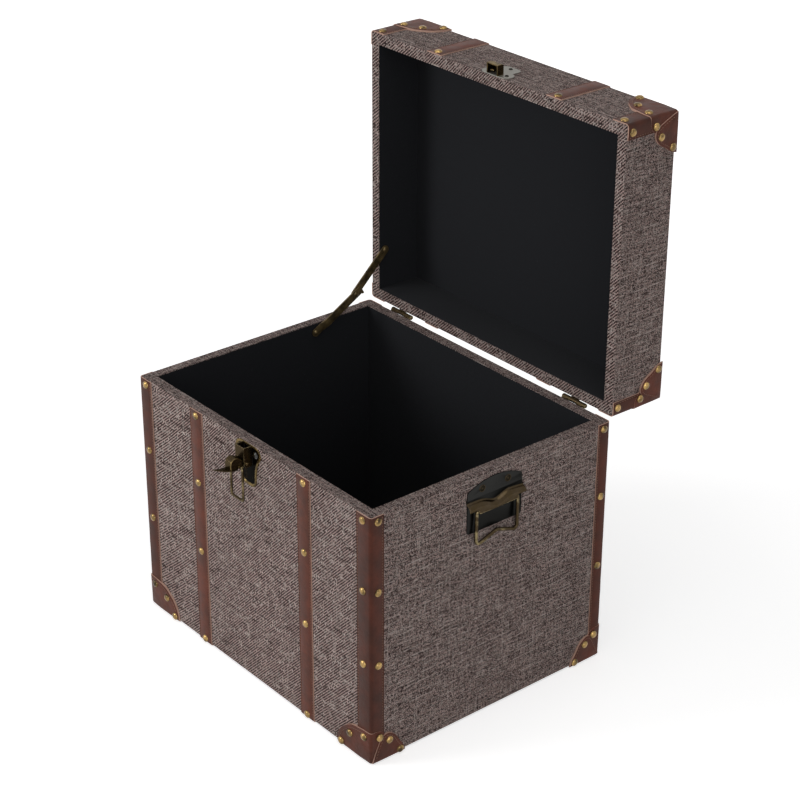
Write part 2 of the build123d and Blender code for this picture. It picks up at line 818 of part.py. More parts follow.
def joggle(start, along):
    """The step that carries the lower arm from beside the wall out past the upper arm."""
    outline = [(stay_joggle_start, upper_x0), (stay_joggle_start, upper_x1), (stay_joggle_end, lower_x1),
               (stay_joggle_end, lower_x0)]
    face = make_face(Polyline(*outline, close=True))
    plane = Plane(origin=(0, 0, -stay_arm_half), x_dir=(0, 1, 0), z_dir=(0, 0, -1))
    step = extrude(plane * face, -stay_arm_half * 2)
    return Pos(0, start[0], start[1]) * Rot(along, 0, 0) * step


def stay_lower_arm():
    """The arm from the body stud to the elbow, joggled, with a tail and a stop lug."""
    along = bearing(body_pivot, elbow)
    length = span(body_pivot, elbow)
    arm = arm_end(body_pivot, upper_x0, upper_x1)
    arm += arm_bar(body_pivot, along, upper_x0, upper_x1, 0, stay_joggle_start)
    arm += joggle(body_pivot, along)
    arm += arm_bar(body_pivot, along, lower_x0, lower_x1, stay_joggle_end, length + stay_tail)
    lug_low = -stay_arm_half - stay_lug_thick
    lug = block(upper_x0, lower_x1, length + stay_tail - stay_lug_thick, length + stay_tail,
                lug_low, -stay_arm_half + stay_lug_thick)
    lug = Pos(0, body_pivot[0], body_pivot[1]) * Rot(along, 0, 0) * lug
    keep_out = arm_bar(elbow, bearing(elbow, lid_pivot), upper_x0 - 1, upper_x1 + stay_arm_gap / 2,
                       0, span(elbow, lid_pivot))
    keep_out = Pos(0, sin(radians(along)) * stay_lug_clear, -cos(radians(along)) * stay_lug_clear) * keep_out
    arm += lug - keep_out
    arm -= along_x(stay_rivet_radius + pin_clear, upper_x0 - 1, lower_x1 + 1, *body_pivot)
    return arm - along_x(stay_rivet_radius, upper_x0 - 1, lower_x1 + 1, *elbow)


def stay_upper_arm():
    along = bearing(elbow, lid_pivot)
    arm = arm_end(elbow, upper_x0, upper_x1) + arm_end(lid_pivot, upper_x0, upper_x1)
    arm += arm_bar(elbow, along, upper_x0, upper_x1, 0, span(elbow, lid_pivot))
    arm -= along_x(stay_rivet_radius + pin_clear, upper_x0 - 1, upper_x1 + 1, *elbow)
    return arm - along_x(stay_rivet_radius, upper_x0 - 1, upper_x1 + 1, *lid_pivot)


def stay_body_stud():
    """A shouldered screw in the left wall that the lower arm turns on."""
    head_x = upper_x1 + stay_arm_gap
    stud = along_x(stay_rivet_radius, stay_wall_x - screw_length, head_x, *body_pivot)
    stud += along_x(stay_shoulder_radius, stay_wall_x, upper_x0 - stay_arm_gap, *body_pivot)
    head = placed(dome(stay_rivet_head, stay_rivet_rise), (head_x, body_pivot[0], body_pivot[1]), (1, 0, 0))
    return stud + head


def stay_elbow_rivet():
    low_x = upper_x0 - stay_arm_gap
    rivet = along_x(stay_rivet_radius, low_x, lower_x1, *elbow)
    rivet += along_x(stay_rivet_head, low_x - stay_arm_gap * 2, low_x, *elbow)
    head = placed(dome(stay_rivet_head, stay_rivet_rise), (lower_x1, elbow[0], elbow[1]), (1, 0, 0))
    return rivet + head


def stay_lid_rivet():
    """The rivet of the lid end, which stops just short of the lid's wall."""
    rivet = along_x(stay_rivet_radius, stay_wall_x + stay_open_gap, upper_x1, *lid_pivot)
    head = placed(dome(stay_rivet_head, stay_rivet_rise), (upper_x1, lid_pivot[0], lid_pivot[1]), (1, 0, 0))
    return rivet + head


# All nodes


def body_nodes():
    nodes = {f"body_{name}_board": board
             for name, board in wall_boards(board_low, body_height - cloth_thick).items()}
    nodes["body_floor_board"] = inside_walls(board_low, floor_top, cloth_thick + board_thick)
    nodes["body_cloth_cover"] = body_cover()
    nodes["body_lining"] = body_lining()
    nodes["base_sheet"] = base_sheet()
    strip = corner_strip(sheet_thick, body_height - trim_end_gap)
    patch = body_patch()
    strap = body_strap()
    nodes["body_front_strap_right"] = strap
    nodes["body_front_strap_left"] = mirrored_x(strap)
    for piece, shape in (("body_corner_strip", strip), ("body_corner_patch", patch)):
        nodes.update(corner_nodes(piece, shape))
    nodes["body_tacks"] = body_tacks()
    return nodes


def corner_nodes(piece, shape):
    """The same piece on four corners, named by corner."""
    back = mirrored_y(shape)
    return {f"{piece}_front_right": shape, f"{piece}_front_left": mirrored_x(shape),
            f"{piece}_back_right": back, f"{piece}_back_left": mirrored_x(back)}


def lid_nodes():
    walls = wall_boards(lid_rim + cloth_thick, lid_top - cloth_thick - board_thick)
    nodes = {f"lid_{name}_board": open_lid(board) for name, board in walls.items()}
    top = boards_space(lid_top - cloth_thick - board_thick, lid_top - cloth_thick)
    nodes["lid_top_board"] = open_lid(top)
    nodes["lid_cloth_cover"] = open_lid(lid_cover())
    nodes["lid_lining"] = open_lid(lid_lining())
    strap = lid_strap()
    nodes["lid_strap_right"] = open_lid(strap)
    nodes["lid_strap_left"] = open_lid(mirrored_x(strap))
    strips = corner_nodes("strip", corner_strip(lid_rim + trim_end_gap, lid_top))
    nodes["lid_corner_strips"] = [open_lid(strip) for strip in strips.values()]
    for name, patch in corner_nodes("lid_corner_patch", lid_patch()).items():
        nodes[name] = open_lid(patch)
    nodes["lid_tacks"] = lid_tacks()
    nodes["keeper_plate"] = keeper_plate()
    nodes["keeper_screws"] = keeper_screws()
    return nodes


def hardware_nodes():
    plate = handle_plate()
    bail = handle_bail()
    nodes = {
        "latch_base_plate": latch_base_plate(), "latch_socket": latch_socket(), "latch_rivets": latch_rivets(),
        "latch_pivot_pin": latch_pivot_pin(), "latch_lever": latch_lever(), "latch_bail": latch_bail(),
        "handle_plate_right": plate, "handle_plate_left": mirrored_x(plate),
        "handle_bail_right": bail, "handle_bail_left": mirrored_x(bail), "handle_rivets": handle_rivets(),
        "stay_body_stud": stay_body_stud(), "stay_lower_arm": stay_lower_arm(),
        "stay_elbow_rivet": stay_elbow_rivet(), "stay_upper_arm": stay_upper_arm(),
        "stay_lid_rivet": stay_lid_rivet()}
    nodes.update(hinges())
    return nodes


os.makedirs("parts", exist_ok=True)
for node, solids in {**body_nodes(), **lid_nodes(), **hardware_nodes()}.items():
    save(node, solids)
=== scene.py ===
import bpy
import json
import random
from math import cos, pi, radians, sin
from mathutils import Matrix, Vector

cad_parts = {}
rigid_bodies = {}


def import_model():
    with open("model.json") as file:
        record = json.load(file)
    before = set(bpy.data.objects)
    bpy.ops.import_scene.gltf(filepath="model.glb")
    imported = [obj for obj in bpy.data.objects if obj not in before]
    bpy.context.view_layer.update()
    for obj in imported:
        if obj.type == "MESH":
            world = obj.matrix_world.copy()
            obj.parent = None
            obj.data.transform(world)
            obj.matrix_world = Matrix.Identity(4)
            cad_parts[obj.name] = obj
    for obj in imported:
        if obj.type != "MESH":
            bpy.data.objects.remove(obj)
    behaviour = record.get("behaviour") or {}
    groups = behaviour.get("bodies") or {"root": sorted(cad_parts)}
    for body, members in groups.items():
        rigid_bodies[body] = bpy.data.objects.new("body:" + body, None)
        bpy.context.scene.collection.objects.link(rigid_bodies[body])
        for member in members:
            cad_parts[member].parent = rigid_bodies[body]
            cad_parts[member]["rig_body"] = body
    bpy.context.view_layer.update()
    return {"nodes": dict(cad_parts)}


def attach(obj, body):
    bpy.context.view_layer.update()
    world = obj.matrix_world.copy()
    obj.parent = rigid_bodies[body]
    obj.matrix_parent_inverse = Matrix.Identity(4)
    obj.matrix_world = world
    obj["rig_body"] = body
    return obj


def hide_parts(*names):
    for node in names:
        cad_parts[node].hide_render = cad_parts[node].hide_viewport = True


bl_info = {
    "name": "Storage trunk",
    "version": (1, 0, 0),
    "blender": (4, 5, 0),
    "location": "View3D > Sidebar > Trunk",
    "description": "Dresses a storage trunk in cloth, leather, tacks and antique brass",
    "category": "Object",
}

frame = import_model()

# Sizes of the trunk in metres; +Z up, the latch faces -Y, the lid rests open behind the body.
HALF_WIDTH = 0.190
HALF_DEPTH = 0.1525
BODY_TOP = 0.277
CLOTH_LOW = 0.0012
LID_RIM = 0.278
LID_TOP = 0.344
LEATHER = 0.0012         # thickness of a strap or strip, and the bend where it turns a corner
PATCH = 0.0022           # thickness of a patch
SKIN = 0.0008            # leather further out than this is on its outer side
STRAP_X = 0.089          # middle of a strap
STRAP_HALF = 0.0105      # half its width
STRIP_FRONT = 0.020      # a corner strip's width on the front
STRIP_SIDE = 0.015       # and on the side
SHORT = 0.0005           # leather ends this far short of a rim
LUMP_STEP = 0.010        # distance between cuts that let leather follow its lumps
GROOVE_HALF = 0.00035    # half the width of the groove under a stitch row
GROOVE_DEPTH = 0.0004
PLATE_FACE = HALF_WIDTH + 0.0010   # outer face of a handle plate
SEAM_OUT = 0.0010        # a stitch row's distance from the cloth
SEAM_END = 0.002         # a stitch row ends this far short of a rim
SEAM_FOOT = 0.004        # height at which a strap's rows start
PATCH_REACH = 0.034      # a strip's rows end where a patch covers them
HINGE_PIN = Vector((0, 0.1555, 0.2775))
OPEN_LID = Matrix.Translation(HINGE_PIN) @ Matrix.Rotation(radians(-90), 4, "X") @ Matrix.Translation(-HINGE_PIN)
AS_IS = Matrix.Identity(4)
FLIP_X = Matrix.Scale(-1, 4, (1, 0, 0))
FLIP_Y = Matrix.Scale(-1, 4, (0, 1, 0))
LID_FLIP = Matrix.Translation((0, 0, LID_TOP + CLOTH_LOW)) @ Matrix.Scale(-1, 4, (0, 0, 1))
SIDES = [("right", AS_IS), ("left", FLIP_X)]
CORNERS = [("front_right", AS_IS), ("front_left", FLIP_X), ("back_right", FLIP_Y), ("back_left", FLIP_X @ FLIP_Y)]

# Tack places: (inward from the corner, height) in metres
STRIP_TACK_FRONT = 0.0108
STRIP_TACK_SIDE = 0.008
FRONT_PATCH_TACKS = [(0.009, 0.029), (0.031, 0.0215), (0.045, 0.005)]
SIDE_PATCH_TACKS = [(0.009, 0.029), (0.021, 0.0215), (0.0345, 0.005)]
TOP_PATCH_TACKS = [(0.010, 0.030), (0.024, 0.020), (0.033, 0.0075)]
STRIP_TACK_HEIGHTS = [0.2705, 0.194, 0.1125]
STRAP_FOOT_TACK = 0.005
LID_TACK_HEIGHT = 0.2845


# The weave, in metres where it is a length
MOSTLY = 0.7            # a normal this much along an axis faces that way
PULL_FROM = 0.05        # the front's stripes widen beyond this distance left of the middle
PULL = 0.83             # by this much times the square of the way from there
WAVER_SCALE = 45        # how closely the threads waver
WAVER = 0.0011          # and how far
MIXED_PITCH = 0.00075   # distance between threads of the mixed weave
ROWS = 1280             # its faint level rows
DYE_SCALE = 55          # changes of colour along a thread
LINE_HALF = 0.00042     # half the width of a pale line


# Properties


def tone(red, green, blue):
    """A colour written as it looks on screen, 0 to 255, as linear values."""
    values = [channel / 255 for channel in (red, green, blue)]
    return tuple(v / 12.92 if v <= 0.04045 else ((v + 0.055) / 1.055) ** 2.4 for v in values) + (1.0,)


def colour_property(name, description, *screen):
    return bpy.props.FloatVectorProperty(name=name, description=description, subtype="COLOR", size=4,
                                         min=0.0, max=1.0, default=tone(*screen))


def length_property(name, description, default):
    return bpy.props.FloatProperty(name=name, description=description, default=default, min=0.0,
                                   unit="LENGTH", precision=5)


class TrunkSizes(bpy.types.PropertyGroup):
    """Sizes of the trim that the CAD model leaves plain."""

    thread_pitch: length_property("Thread pitch", "Distance between threads of the woven cloth", 0.00166)
    thread_relief: length_property("Thread relief", "Height of a thread over the one it crosses", 0.00045)
    stitch_pitch: length_property("Stitch pitch", "Distance between stitches in the leather", 0.0031)
    stitch_inset: length_property("Stitch inset", "Distance of a stitch row from the leather's edge", 0.0018)
    stitch_radius: length_property("Stitch radius", "Radius of the stitching thread", 0.00028)
    tack_radius: length_property("Tack radius", "Radius of a domed tack", 0.0043)
    tack_rise: length_property("Tack rise", "Height of a tack over the leather", 0.0024)


class TrunkColours(bpy.types.PropertyGroup):
    """Colours of the trunk's finishes."""

    warp: colour_property("Warp", "Dark threads that run up and down", 56, 40, 38)
    weft: colour_property("Weft", "Pale threads that run across", 194, 168, 161)
    slub: colour_property("Slubs", "Thick pale places in the threads", 224, 210, 202)
    leather_red: colour_property("Red leather", "Redder parts of the leather", 103, 56, 43)
    leather_brown: colour_property("Brown leather", "Darker, browner parts", 83, 49, 39)
    leather_edge: colour_property("Raw edge", "Cut edges of the leather", 200, 162, 144)
    thread_stitch: colour_property("Stitches", "Stitching thread", 138, 104, 86)
    lining: colour_property("Lining", "Cloth inside", 32, 33, 36)
    brass: colour_property("Brass", "Bright brass of worn edges", 186, 166, 120)
    gilt: colour_property("Gilt", "Domed tacks", 192, 158, 100)
    patina: colour_property("Patina", "Brown skin on the brass", 62, 51, 34)
    olive: colour_property("Olive", "Arms of the lid stay", 132, 112, 72)
    bronze: colour_property("Dark bronze", "Handle plates", 43, 43, 42)
    dark: colour_property("Blackened brass", "Field of the latch plate, rivets and screws", 31, 29, 24)
    rubbed: colour_property("Rubbed bronze", "Handle lips, where hands polish them", 70, 60, 48)
    wire: colour_property("Wire", "Bails", 178, 162, 122)
    plate: colour_property("Keeper plate", "Pale plate of the keeper", 126, 123, 116)
    board: colour_property("Board", "Boards under the cloth", 182, 156, 120)


# Materials


class Nodes:
    """Short words for building a node tree."""

    def __init__(self, tree):
        self.nodes, self.links = tree.nodes, tree.links

    def feed(self, socket, value):
        if isinstance(value, bpy.types.NodeSocket):
            self.links.new(value, socket)
        else:
            socket.default_value = value

    def add(self, kind, inputs, **settings):
        node = self.nodes.new(kind)
        for name, value in settings.items():
            setattr(node, name, value)
        for name, value in inputs.items():
            self.feed(node.inputs[name], value)
        return node

    def math(self, operation, *values):
        node = self.nodes.new("ShaderNodeMath")
        node.operation = operation
        for socket, value in zip(node.inputs, values):
            self.feed(socket, value)
        return node.outputs[0]

    def times(self, first, second):
        return self.math("MULTIPLY", first, second)

    def times_plus(self, first, second, added):
        return self.math("MULTIPLY_ADD", first, second, added)

    def minus(self, first, second):
        return self.math("SUBTRACT", first, second)

    def parts(self, vector):
        return self.add("ShaderNodeSeparateXYZ", {"Vector": vector}).outputs

    def vector(self, x, y, z):
        return self.add("ShaderNodeCombineXYZ", {"X": x, "Y": y, "Z": z}).outputs[0]

    def noise(self, vector, scale, detail=2.0, roughness=0.5):
        inputs = {"Vector": vector, "Scale": scale, "Detail": detail, "Roughness": roughness}
        return self.add("ShaderNodeTexNoise", inputs).outputs["Fac"]

    def cells(self, vector, scale, feature):
        cells = self.add("ShaderNodeTexVoronoi", {"Vector": vector, "Scale": scale}, feature=feature)
        return cells.outputs["Distance"]

    def chance(self, vector):
        return self.add("ShaderNodeTexWhiteNoise", {"Vector": vector}).outputs["Value"]

    def span(self, value, low, high, to_low=0.0, to_high=1.0):
        """Carries low..high to to_low..to_high and holds the ends."""
        inputs = {"Value": value, "From Min": low, "From Max": high, "To Min": to_low, "To Max": to_high}
        return self.add("ShaderNodeMapRange", inputs).outputs[0]

    def mix(self, factor, first, second, mode="MIX"):
        node = self.nodes.new("ShaderNodeMix")
        node.data_type = "RGBA"
        node.blend_type = mode
        for index, value in ((0, factor), (6, first), (7, second)):
            self.feed(node.inputs[index], value)
        return node.outputs[2]

    def shaded(self, colour, light):
        """The colour made lighter or darker from place to place."""
        return self.mix(1.0, colour, self.vector(light, light, light), "MULTIPLY")

    def bump(self, height, distance, strength=1.0, normal=None):
        inputs = {"Height": height, "Distance": distance, "Strength": strength}
        if normal:
            inputs["Normal"] = normal
        return self.add("ShaderNodeBump", inputs).outputs[0]

    def seen_directly(self):
        """1 where a camera, glossy or transmission ray looks, 0 for light that falls on things."""
        path = self.nodes.new("ShaderNodeLightPath").outputs
        glossy = self.math("MAXIMUM", path["Is Camera Ray"], path["Is Glossy Ray"])
        return self.math("MAXIMUM", glossy, path["Is Transmission Ray"])


class Finish(Nodes):
    """One material, with its surface, the place on the piece and the normal there."""

    def __init__(self, name):
        self.material = bpy.data.materials.new(name)
        self.material.use_nodes = True
        super().__init__(self.material.node_tree)
        self.surface = self.nodes["Principled BSDF"]
        coordinates = self.nodes.new("ShaderNodeTexCoord")
        self.place = coordinates.outputs["Object"]
        self.normal = coordinates.outputs["Normal"]

    def set(self, **values):
        for name, value in values.items():
            self.feed(self.surface.inputs[name.replace("_", " ")], value)

    def flat_axes(self):
        """Two coordinates along whichever face of a box the point is on, and 1 where that isn't the front."""
        x, y, z = self.parts(self.place)
        normal = self.add("ShaderNodeVectorMath", {0: self.normal}, operation="ABSOLUTE").outputs[0]
        side, _, level = self.parts(normal)
        on_side = self.math("GREATER_THAN", side, MOSTLY)
        on_level = self.math("GREATER_THAN", level, MOSTLY)
        u = self.times_plus(on_side, self.minus(y, x), x)
        v = self.minus(z, self.times(on_level, self.math("ADD", y, z)))
        behind = self.math("GREATER_THAN", self.parts(self.normal)[1], MOSTLY)
        return u, v, self.math("MAXIMUM", self.math("MAXIMUM", on_side, on_level), behind)


def woven_cloth(name, front_pitch, rim_y, rim_z, sizes, colours):
    """
    Uneven threads with pale slubs along them: diagonal stripes on the front and a finer mixed weave elsewhere.
    It is a little darker on the folded rim, which lies in front of rim_y and above rim_z.
    """
    f = Finish(name)
    u, v, mixed = f.flat_axes()
    pulled = f.math("MINIMUM", f.math("ADD", u, PULL_FROM), 0.0)
    u = f.times_plus(f.times(pulled, pulled), PULL, u)
    u = f.times_plus(f.noise(f.place, WAVER_SCALE), WAVER, u)
    v = f.times_plus(f.noise(f.vector(v, u, 0.3), WAVER_SCALE), WAVER, v)
    pitch = f.times_plus(mixed, MIXED_PITCH - front_pitch, front_pitch)
    across = f.math("DIVIDE", u, pitch)
    along = f.math("DIVIDE", v, pitch)
    warp_number = f.math("FLOOR", across)
    weft_number = f.math("FLOOR", along)
    luck = f.minus(f.chance(f.vector(warp_number, weft_number, 0)), 0.5)

    # Which of two crossing threads lies on top
    warp_wave = f.math("SINE", f.times(across, pi))
    weft_wave = f.math("SINE", f.times(along, pi))
    slanting = f.math("COSINE", f.times(f.minus(across, along), pi))
    striped = f.times_plus(luck, 1.7, f.math("ADD", slanting, f.times(warp_wave, weft_wave)))
    rows = f.math("SINE", f.times(v, ROWS))
    mingled = f.times_plus(rows, 0.18, f.times(luck, 2.6))
    crossing = f.times_plus(mixed, f.minus(mingled, striped), striped)
    warp = f.math("ADD", f.math("ABSOLUTE", warp_wave), crossing)
    weft = f.minus(f.math("ABSOLUTE", weft_wave), crossing)
    warp_on_top = f.math("GREATER_THAN", warp, weft)

    # Colour along each thread
    warp_path = f.vector(f.times(warp_number, 0.61), f.times(v, DYE_SCALE), 1.7)
    weft_path = f.vector(f.times(u, DYE_SCALE), f.times(weft_number, 0.61), 5.3)
    warp_shade = f.times_plus(luck, 0.2, f.noise(warp_path, 1, 3, 0.62))
    weft_shade = f.times_plus(luck, 0.2, f.noise(weft_path, 1, 3, 0.62))
    warp_colour = f.mix(f.span(warp_shade, 0.60, 0.84), colours.warp, colours.slub)
    weft_colour = f.mix(f.span(weft_shade, 0.42, 0.26), colours.weft, colours.warp)
    weft_colour = f.mix(f.span(weft_shade, 0.54, 0.74), weft_colour, colours.slub)
    colour = f.mix(warp_on_top, weft_colour, warp_colour)
    colour = f.mix(f.span(luck, 0.41, 0.43, 0.0, 0.65), colour, colours.slub)

    # Thick pale threads, both ways
    for path, side, seed, strength in ((u, v, 9.1, 0.55), (v, u, 4.7, 0.40)):
        number = f.math("FLOOR", f.times(side, 900))
        thick = f.noise(f.vector(f.times(path, 42), f.times(number, 0.73), seed), 1, 1)
        colour = f.mix(f.span(thick, 0.62, 0.72, 0.0, strength), colour, colours.slub)
    # Painted shade: the colour darkens where the threads lie low between crossings, and a little painted highlight
    # lightens their tops.
    height = f.times(f.math("MAXIMUM", warp, weft), 0.5)
    colour = f.shaded(colour, f.span(height, 0.25, 0.9, 0.30, 1.1))

    # Broken pale lines in the mixed weave, each at its own place within its spacing
    for side, path, spacing, strength in ((v, u, 0.0093, 0.62), (u, v, 0.021, 0.30)):
        run = f.math("DIVIDE", side, spacing)
        number = f.math("FLOOR", run)
        shift = f.times(f.chance(f.vector(number, 3.1, 0)), 0.8)
        within = f.minus(f.minus(run, number), shift)
        line = f.math("LESS_THAN", f.math("ABSOLUTE", f.minus(within, 0.1)), LINE_HALF / spacing)
        broken = f.noise(f.vector(f.times(path, 150), f.times(number, 3.7), 2.9), 1, 1)
        pale = f.times(f.times(line, mixed), f.span(broken, 0.46, 0.60, 0.0, strength))
        colour = f.mix(pale, colour, colours.slub)

    # Slow clouds, and the darker weave and rim
    cloudy = f.span(f.noise(f.place, 14, 3), 0.3, 0.7, 0.88, 0.98)
    cloudy = f.times(cloudy, f.times_plus(mixed, -0.13, 1.0))
    _, y, z = f.parts(f.place)
    folded = f.times(f.math("LESS_THAN", y, rim_y), f.math("GREATER_THAN", z, rim_z))
    colour = f.shaded(colour, f.times(cloudy, f.times_plus(folded, -0.14, 1.0)))
    fuzz = f.bump(f.noise(f.place, 4200, 2), 0.00008, 0.6, f.bump(height, sizes.thread_relief))
    f.set(Base_Color=colour, Roughness=0.88, Normal=fuzz)
    f.set(Sheen_Weight=0.04, Sheen_Roughness=0.5, Specular_IOR_Level=0.10)
    return f.material


def leather(name, colours, depth, folds):
    """Reddish brown leather with cloudy colour, a fine grain, long creases and soft folds."""
    f = Finish(name)
    clouds = f.noise(f.place, 34, 4, 0.6)
    colour = f.mix(f.span(clouds, 0.38, 0.62), colours.leather_brown, colours.leather_red)
    # The streaks vary the tone from place to place; depth scales the whole colour, and the corner strips use a
    # darker copy.
    streak = f.noise(f.place, 90, 5, 0.65)
    worn = f.span(streak, 0.35, 0.68, 0.80 * depth, 1.16 * depth)
    colour = f.shaded(colour, worn)
    grain = f.cells(f.place, 1500, "SMOOTH_F1")
    creases = f.span(f.cells(f.place, 260, "DISTANCE_TO_EDGE"), 0.0, 0.08)
    pebble = f.bump(grain, 0.00010, 0.5)
    creased = f.bump(creases, 0.00010, 0.35, pebble)
    folded = f.bump(f.noise(f.place, 75, 3, 0.55), 0.0016, folds, creased)
    f.set(Base_Color=colour, Normal=folded, Roughness=f.span(streak, 0.3, 0.7, 0.36, 0.54))
    f.set(Specular_IOR_Level=0.12)
    return f.material


def fibrous(name, colour, scale, detail, low, high, roughness, relief, strength):
    """Loose fibres or twisted thread; the colour goes from low to high times its own."""
    f = Finish(name)
    fibre = f.noise(f.place, scale, detail)
    tinted = f.shaded(colour, f.span(fibre, 0.3, 0.7, low, high))
    f.set(Base_Color=tinted, Roughness=roughness, Normal=f.bump(fibre, relief, strength))
    return f.material


def lining_cloth(name, colour, scale):
    """A matt felted cloth with short fibres and a few pale specks of lint."""
    f = Finish(name)
    fibre = f.noise(f.place, scale, 4, 0.7)
    shade = f.span(fibre, 0.25, 0.75, 0.72, 1.3)
    lint = f.span(f.noise(f.place, 520, 1), 0.74, 0.80, 1.0, 1.9)
    light = f.times(shade, lint)
    tinted = f.shaded(colour, light)
    f.set(Base_Color=tinted, Roughness=0.95, Normal=f.bump(fibre, 0.00015, 0.5))
    f.set(Sheen_Weight=0.03, Sheen_Roughness=0.6, Specular_IOR_Level=0.06)
    return f.material


def metal(name, skin, bright, wear, roughness, metallic, rim):
    """Metal under a patchy skin; wear is how much bright metal shows, rim how bright it is at a slant."""
    f = Finish(name)
    patches = f.noise(f.place, 130, 4, 0.55)
    rubbed = f.span(patches, 0.75 - 0.5 * wear, 1.15 - 0.5 * wear)
    fine = f.noise(f.place, 900, 3)
    colour = f.shaded(f.mix(rubbed, skin, bright), f.span(fine, 0.3, 0.7, 0.88, 1.08))
    rough = f.times_plus(f.minus(fine, 0.5), 0.16, roughness)
    f.set(Base_Color=colour, Metallic=metallic, Roughness=rough, Specular_Tint=(rim, rim, rim, 1))
    f.set(Normal=f.bump(f.noise(f.place, 260, 2), 0.00008, 0.5))
    return f.material


def fibreboard(colours):
    """Pressed board with flecks."""
    f = Finish("fibreboard")
    fleck = f.span(f.noise(f.place, 700, 5, 0.7), 0.35, 0.65, 0.8, 1.15)
    colour = f.shaded(colours.board, fleck)
    f.set(Base_Color=colour, Roughness=0.85, Normal=f.bump(fleck, 0.0001, 0.4))
    return f.material


# Key: name, skin, metal below it, how much of that shows, roughness, metallic, how bright it is at a slant
METALS = {
    "tack": ("tack_brass", "patina", "gilt", 0.85, 0.22, 0.9, 1.0),
    "brass": ("antique_brass", "patina", "brass", 0.12, 0.28, 0.9, 0.5),
    "dark": ("blackened_brass", "dark", "patina", 0.4, 0.24, 0.9, 0.25),
    "rivet": ("black_rivet", "dark", "dark", 0.0, 0.10, 0.0, 1.0),
    "worn": ("worn_brass_edge", "patina", "brass", 1.0, 0.26, 0.9, 1.0),
    "rim": ("dull_brass_edge", "patina", "olive", 0.95, 0.20, 0.9, 0.6),
    "olive": ("stay_brass", "patina", "olive", 0.8, 0.42, 0.6, 1.0),
    "wire": ("bail_wire", "patina", "wire", 0.52, 0.18, 0.9, 0.6),
    "bronze": ("dark_bronze", "bronze", "bronze", 0.0, 0.30, 1.0, 0.3),
    "rubbed": ("rubbed_bronze", "patina", "rubbed", 0.75, 0.20, 0.9, 0.35),
    "plate": ("pale_plate", "plate", "plate", 0.0, 0.48, 0.75, 1.0),
}
FINISHES = {}


def make_finishes(sizes, colours):
    lid_pitch = 1.09 * sizes.thread_pitch       # the lid's weave is a little coarser
    FINISHES["cloth"] = woven_cloth("woven_cloth", sizes.thread_pitch, 1.0, BODY_TOP - 0.0006, sizes, colours)
    FINISHES["lid_cloth"] = woven_cloth("woven_lid_cloth", lid_pitch, HINGE_PIN.y + 0.001, 0.0, sizes, colours)
    FINISHES["leather"] = leather("leather", colours, 1.0, 0.25)
    FINISHES["corner_leather"] = leather("corner_leather", colours, 0.95, 0.7)
    FINISHES["dark_leather"] = leather("dark_leather", colours, 0.69, 0.25)
    FINISHES["edge"] = fibrous("leather_raw_edge", colours.leather_edge, 900, 3, 0.8, 1.1, 0.8, 0.0002, 0.6)
    FINISHES["stitch"] = fibrous("stitching_thread", colours.thread_stitch, 2600, 2, 0.72, 1.15, 0.75, 0.0001, 0.8)
    FINISHES["lining"] = lining_cloth("dark_lining", colours.lining, 1100)
    FINISHES["felt"] = lining_cloth("base_felt", colours.lining, 1700)
    for key, (name, skin, bright, *look) in METALS.items():
        FINISHES[key] = metal(name, getattr(colours, skin), getattr(colours, bright), *look)
    FINISHES["board"] = fibreboard(colours)


def dress(piece, *names):
    """Gives a piece its materials, in slot order."""
    piece.data.materials.clear()
    for name in names:
        piece.data.materials.append(FINISHES[name])


# Modelling words

SMOOTH_BELOW = radians(40)
ROUNDING = 0.0003       # usual width of an eased edge
FINE_ROUNDING = 0.00025     # and on the hinges and the stay
MERGE = 0.000002        # points of a CAD mesh that are closer than this are one


def only(piece):
    """Selects one object and makes it active."""
    if bpy.context.object and bpy.context.object.mode != "OBJECT":
        bpy.ops.object.mode_set(mode="OBJECT")
    bpy.ops.object.select_all(action="DESELECT")
    piece.hide_set(False)
    piece.select_set(True)
    bpy.context.view_layer.objects.active = piece
    return piece


def named(name):
    piece = bpy.context.object
    piece.name = name
    piece.data.name = name
    return piece


def settle(piece, matrix=AS_IS):
    """Puts the object's place, turn and size into its mesh, then moves the mesh by a matrix."""
    whole = matrix @ piece.matrix_basis
    piece.data.transform(whole)
    piece.matrix_basis = AS_IS
    if whole.determinant() < 0:
        piece.data.flip_normals()
    return piece


def fresh(name, primitive, **settings):
    """Adds a primitive with nothing else selected."""
    bpy.ops.object.select_all(action="DESELECT")
    primitive(**settings)
    return settle(named(name))


def cube(name, low, high):
    low, high = Vector(low), Vector(high)
    return fresh(name, bpy.ops.mesh.primitive_cube_add, size=1, location=(low + high) / 2, scale=high - low)


def ball(name, segments, rings, radius, **settings):
    return fresh(name, bpy.ops.mesh.primitive_uv_sphere_add, segments=segments, ring_count=rings, radius=radius,
                 **settings)


def discard(*pieces):
    for piece in pieces:
        bpy.data.objects.remove(piece)


def use(piece, kind, **settings):
    """Adds one modifier and applies it."""
    only(piece)
    modifier = piece.modifiers.new(kind.lower(), kind)
    for name, value in settings.items():
        setattr(modifier, name, value)
    bpy.ops.object.modifier_apply(modifier=modifier.name)
    return piece


def cut(piece, cutter, operation):
    use(piece, "BOOLEAN", operation=operation, object=cutter, solver="EXACT")
    discard(cutter)
    return piece


def lumpy(piece, name, size, strength):
    """Pushes the surface in and out by slow clouds."""
    texture = bpy.data.textures.get(name) or bpy.data.textures.new(name, "CLOUDS")
    texture.noise_scale = size
    use(piece, "DISPLACE", texture=texture, texture_coords="LOCAL", strength=strength, mid_level=0.5)


def ease(piece, width, segments=2, angle=35, material=-1):
    """Rounds the sharp edges and smooths the faces between them."""
    use(piece, "BEVEL", width=width, segments=segments, limit_method="ANGLE", angle_limit=radians(angle),
        material=material, use_clamp_overlap=True)
    bpy.ops.object.shade_smooth_by_angle(angle=SMOOTH_BELOW)
    return piece


def flatten(piece):
    """Makes broad faces shade flat and leaves the turn of light to the eased edges."""
    return use(piece, "WEIGHTED_NORMAL", weight=50, keep_sharp=True)


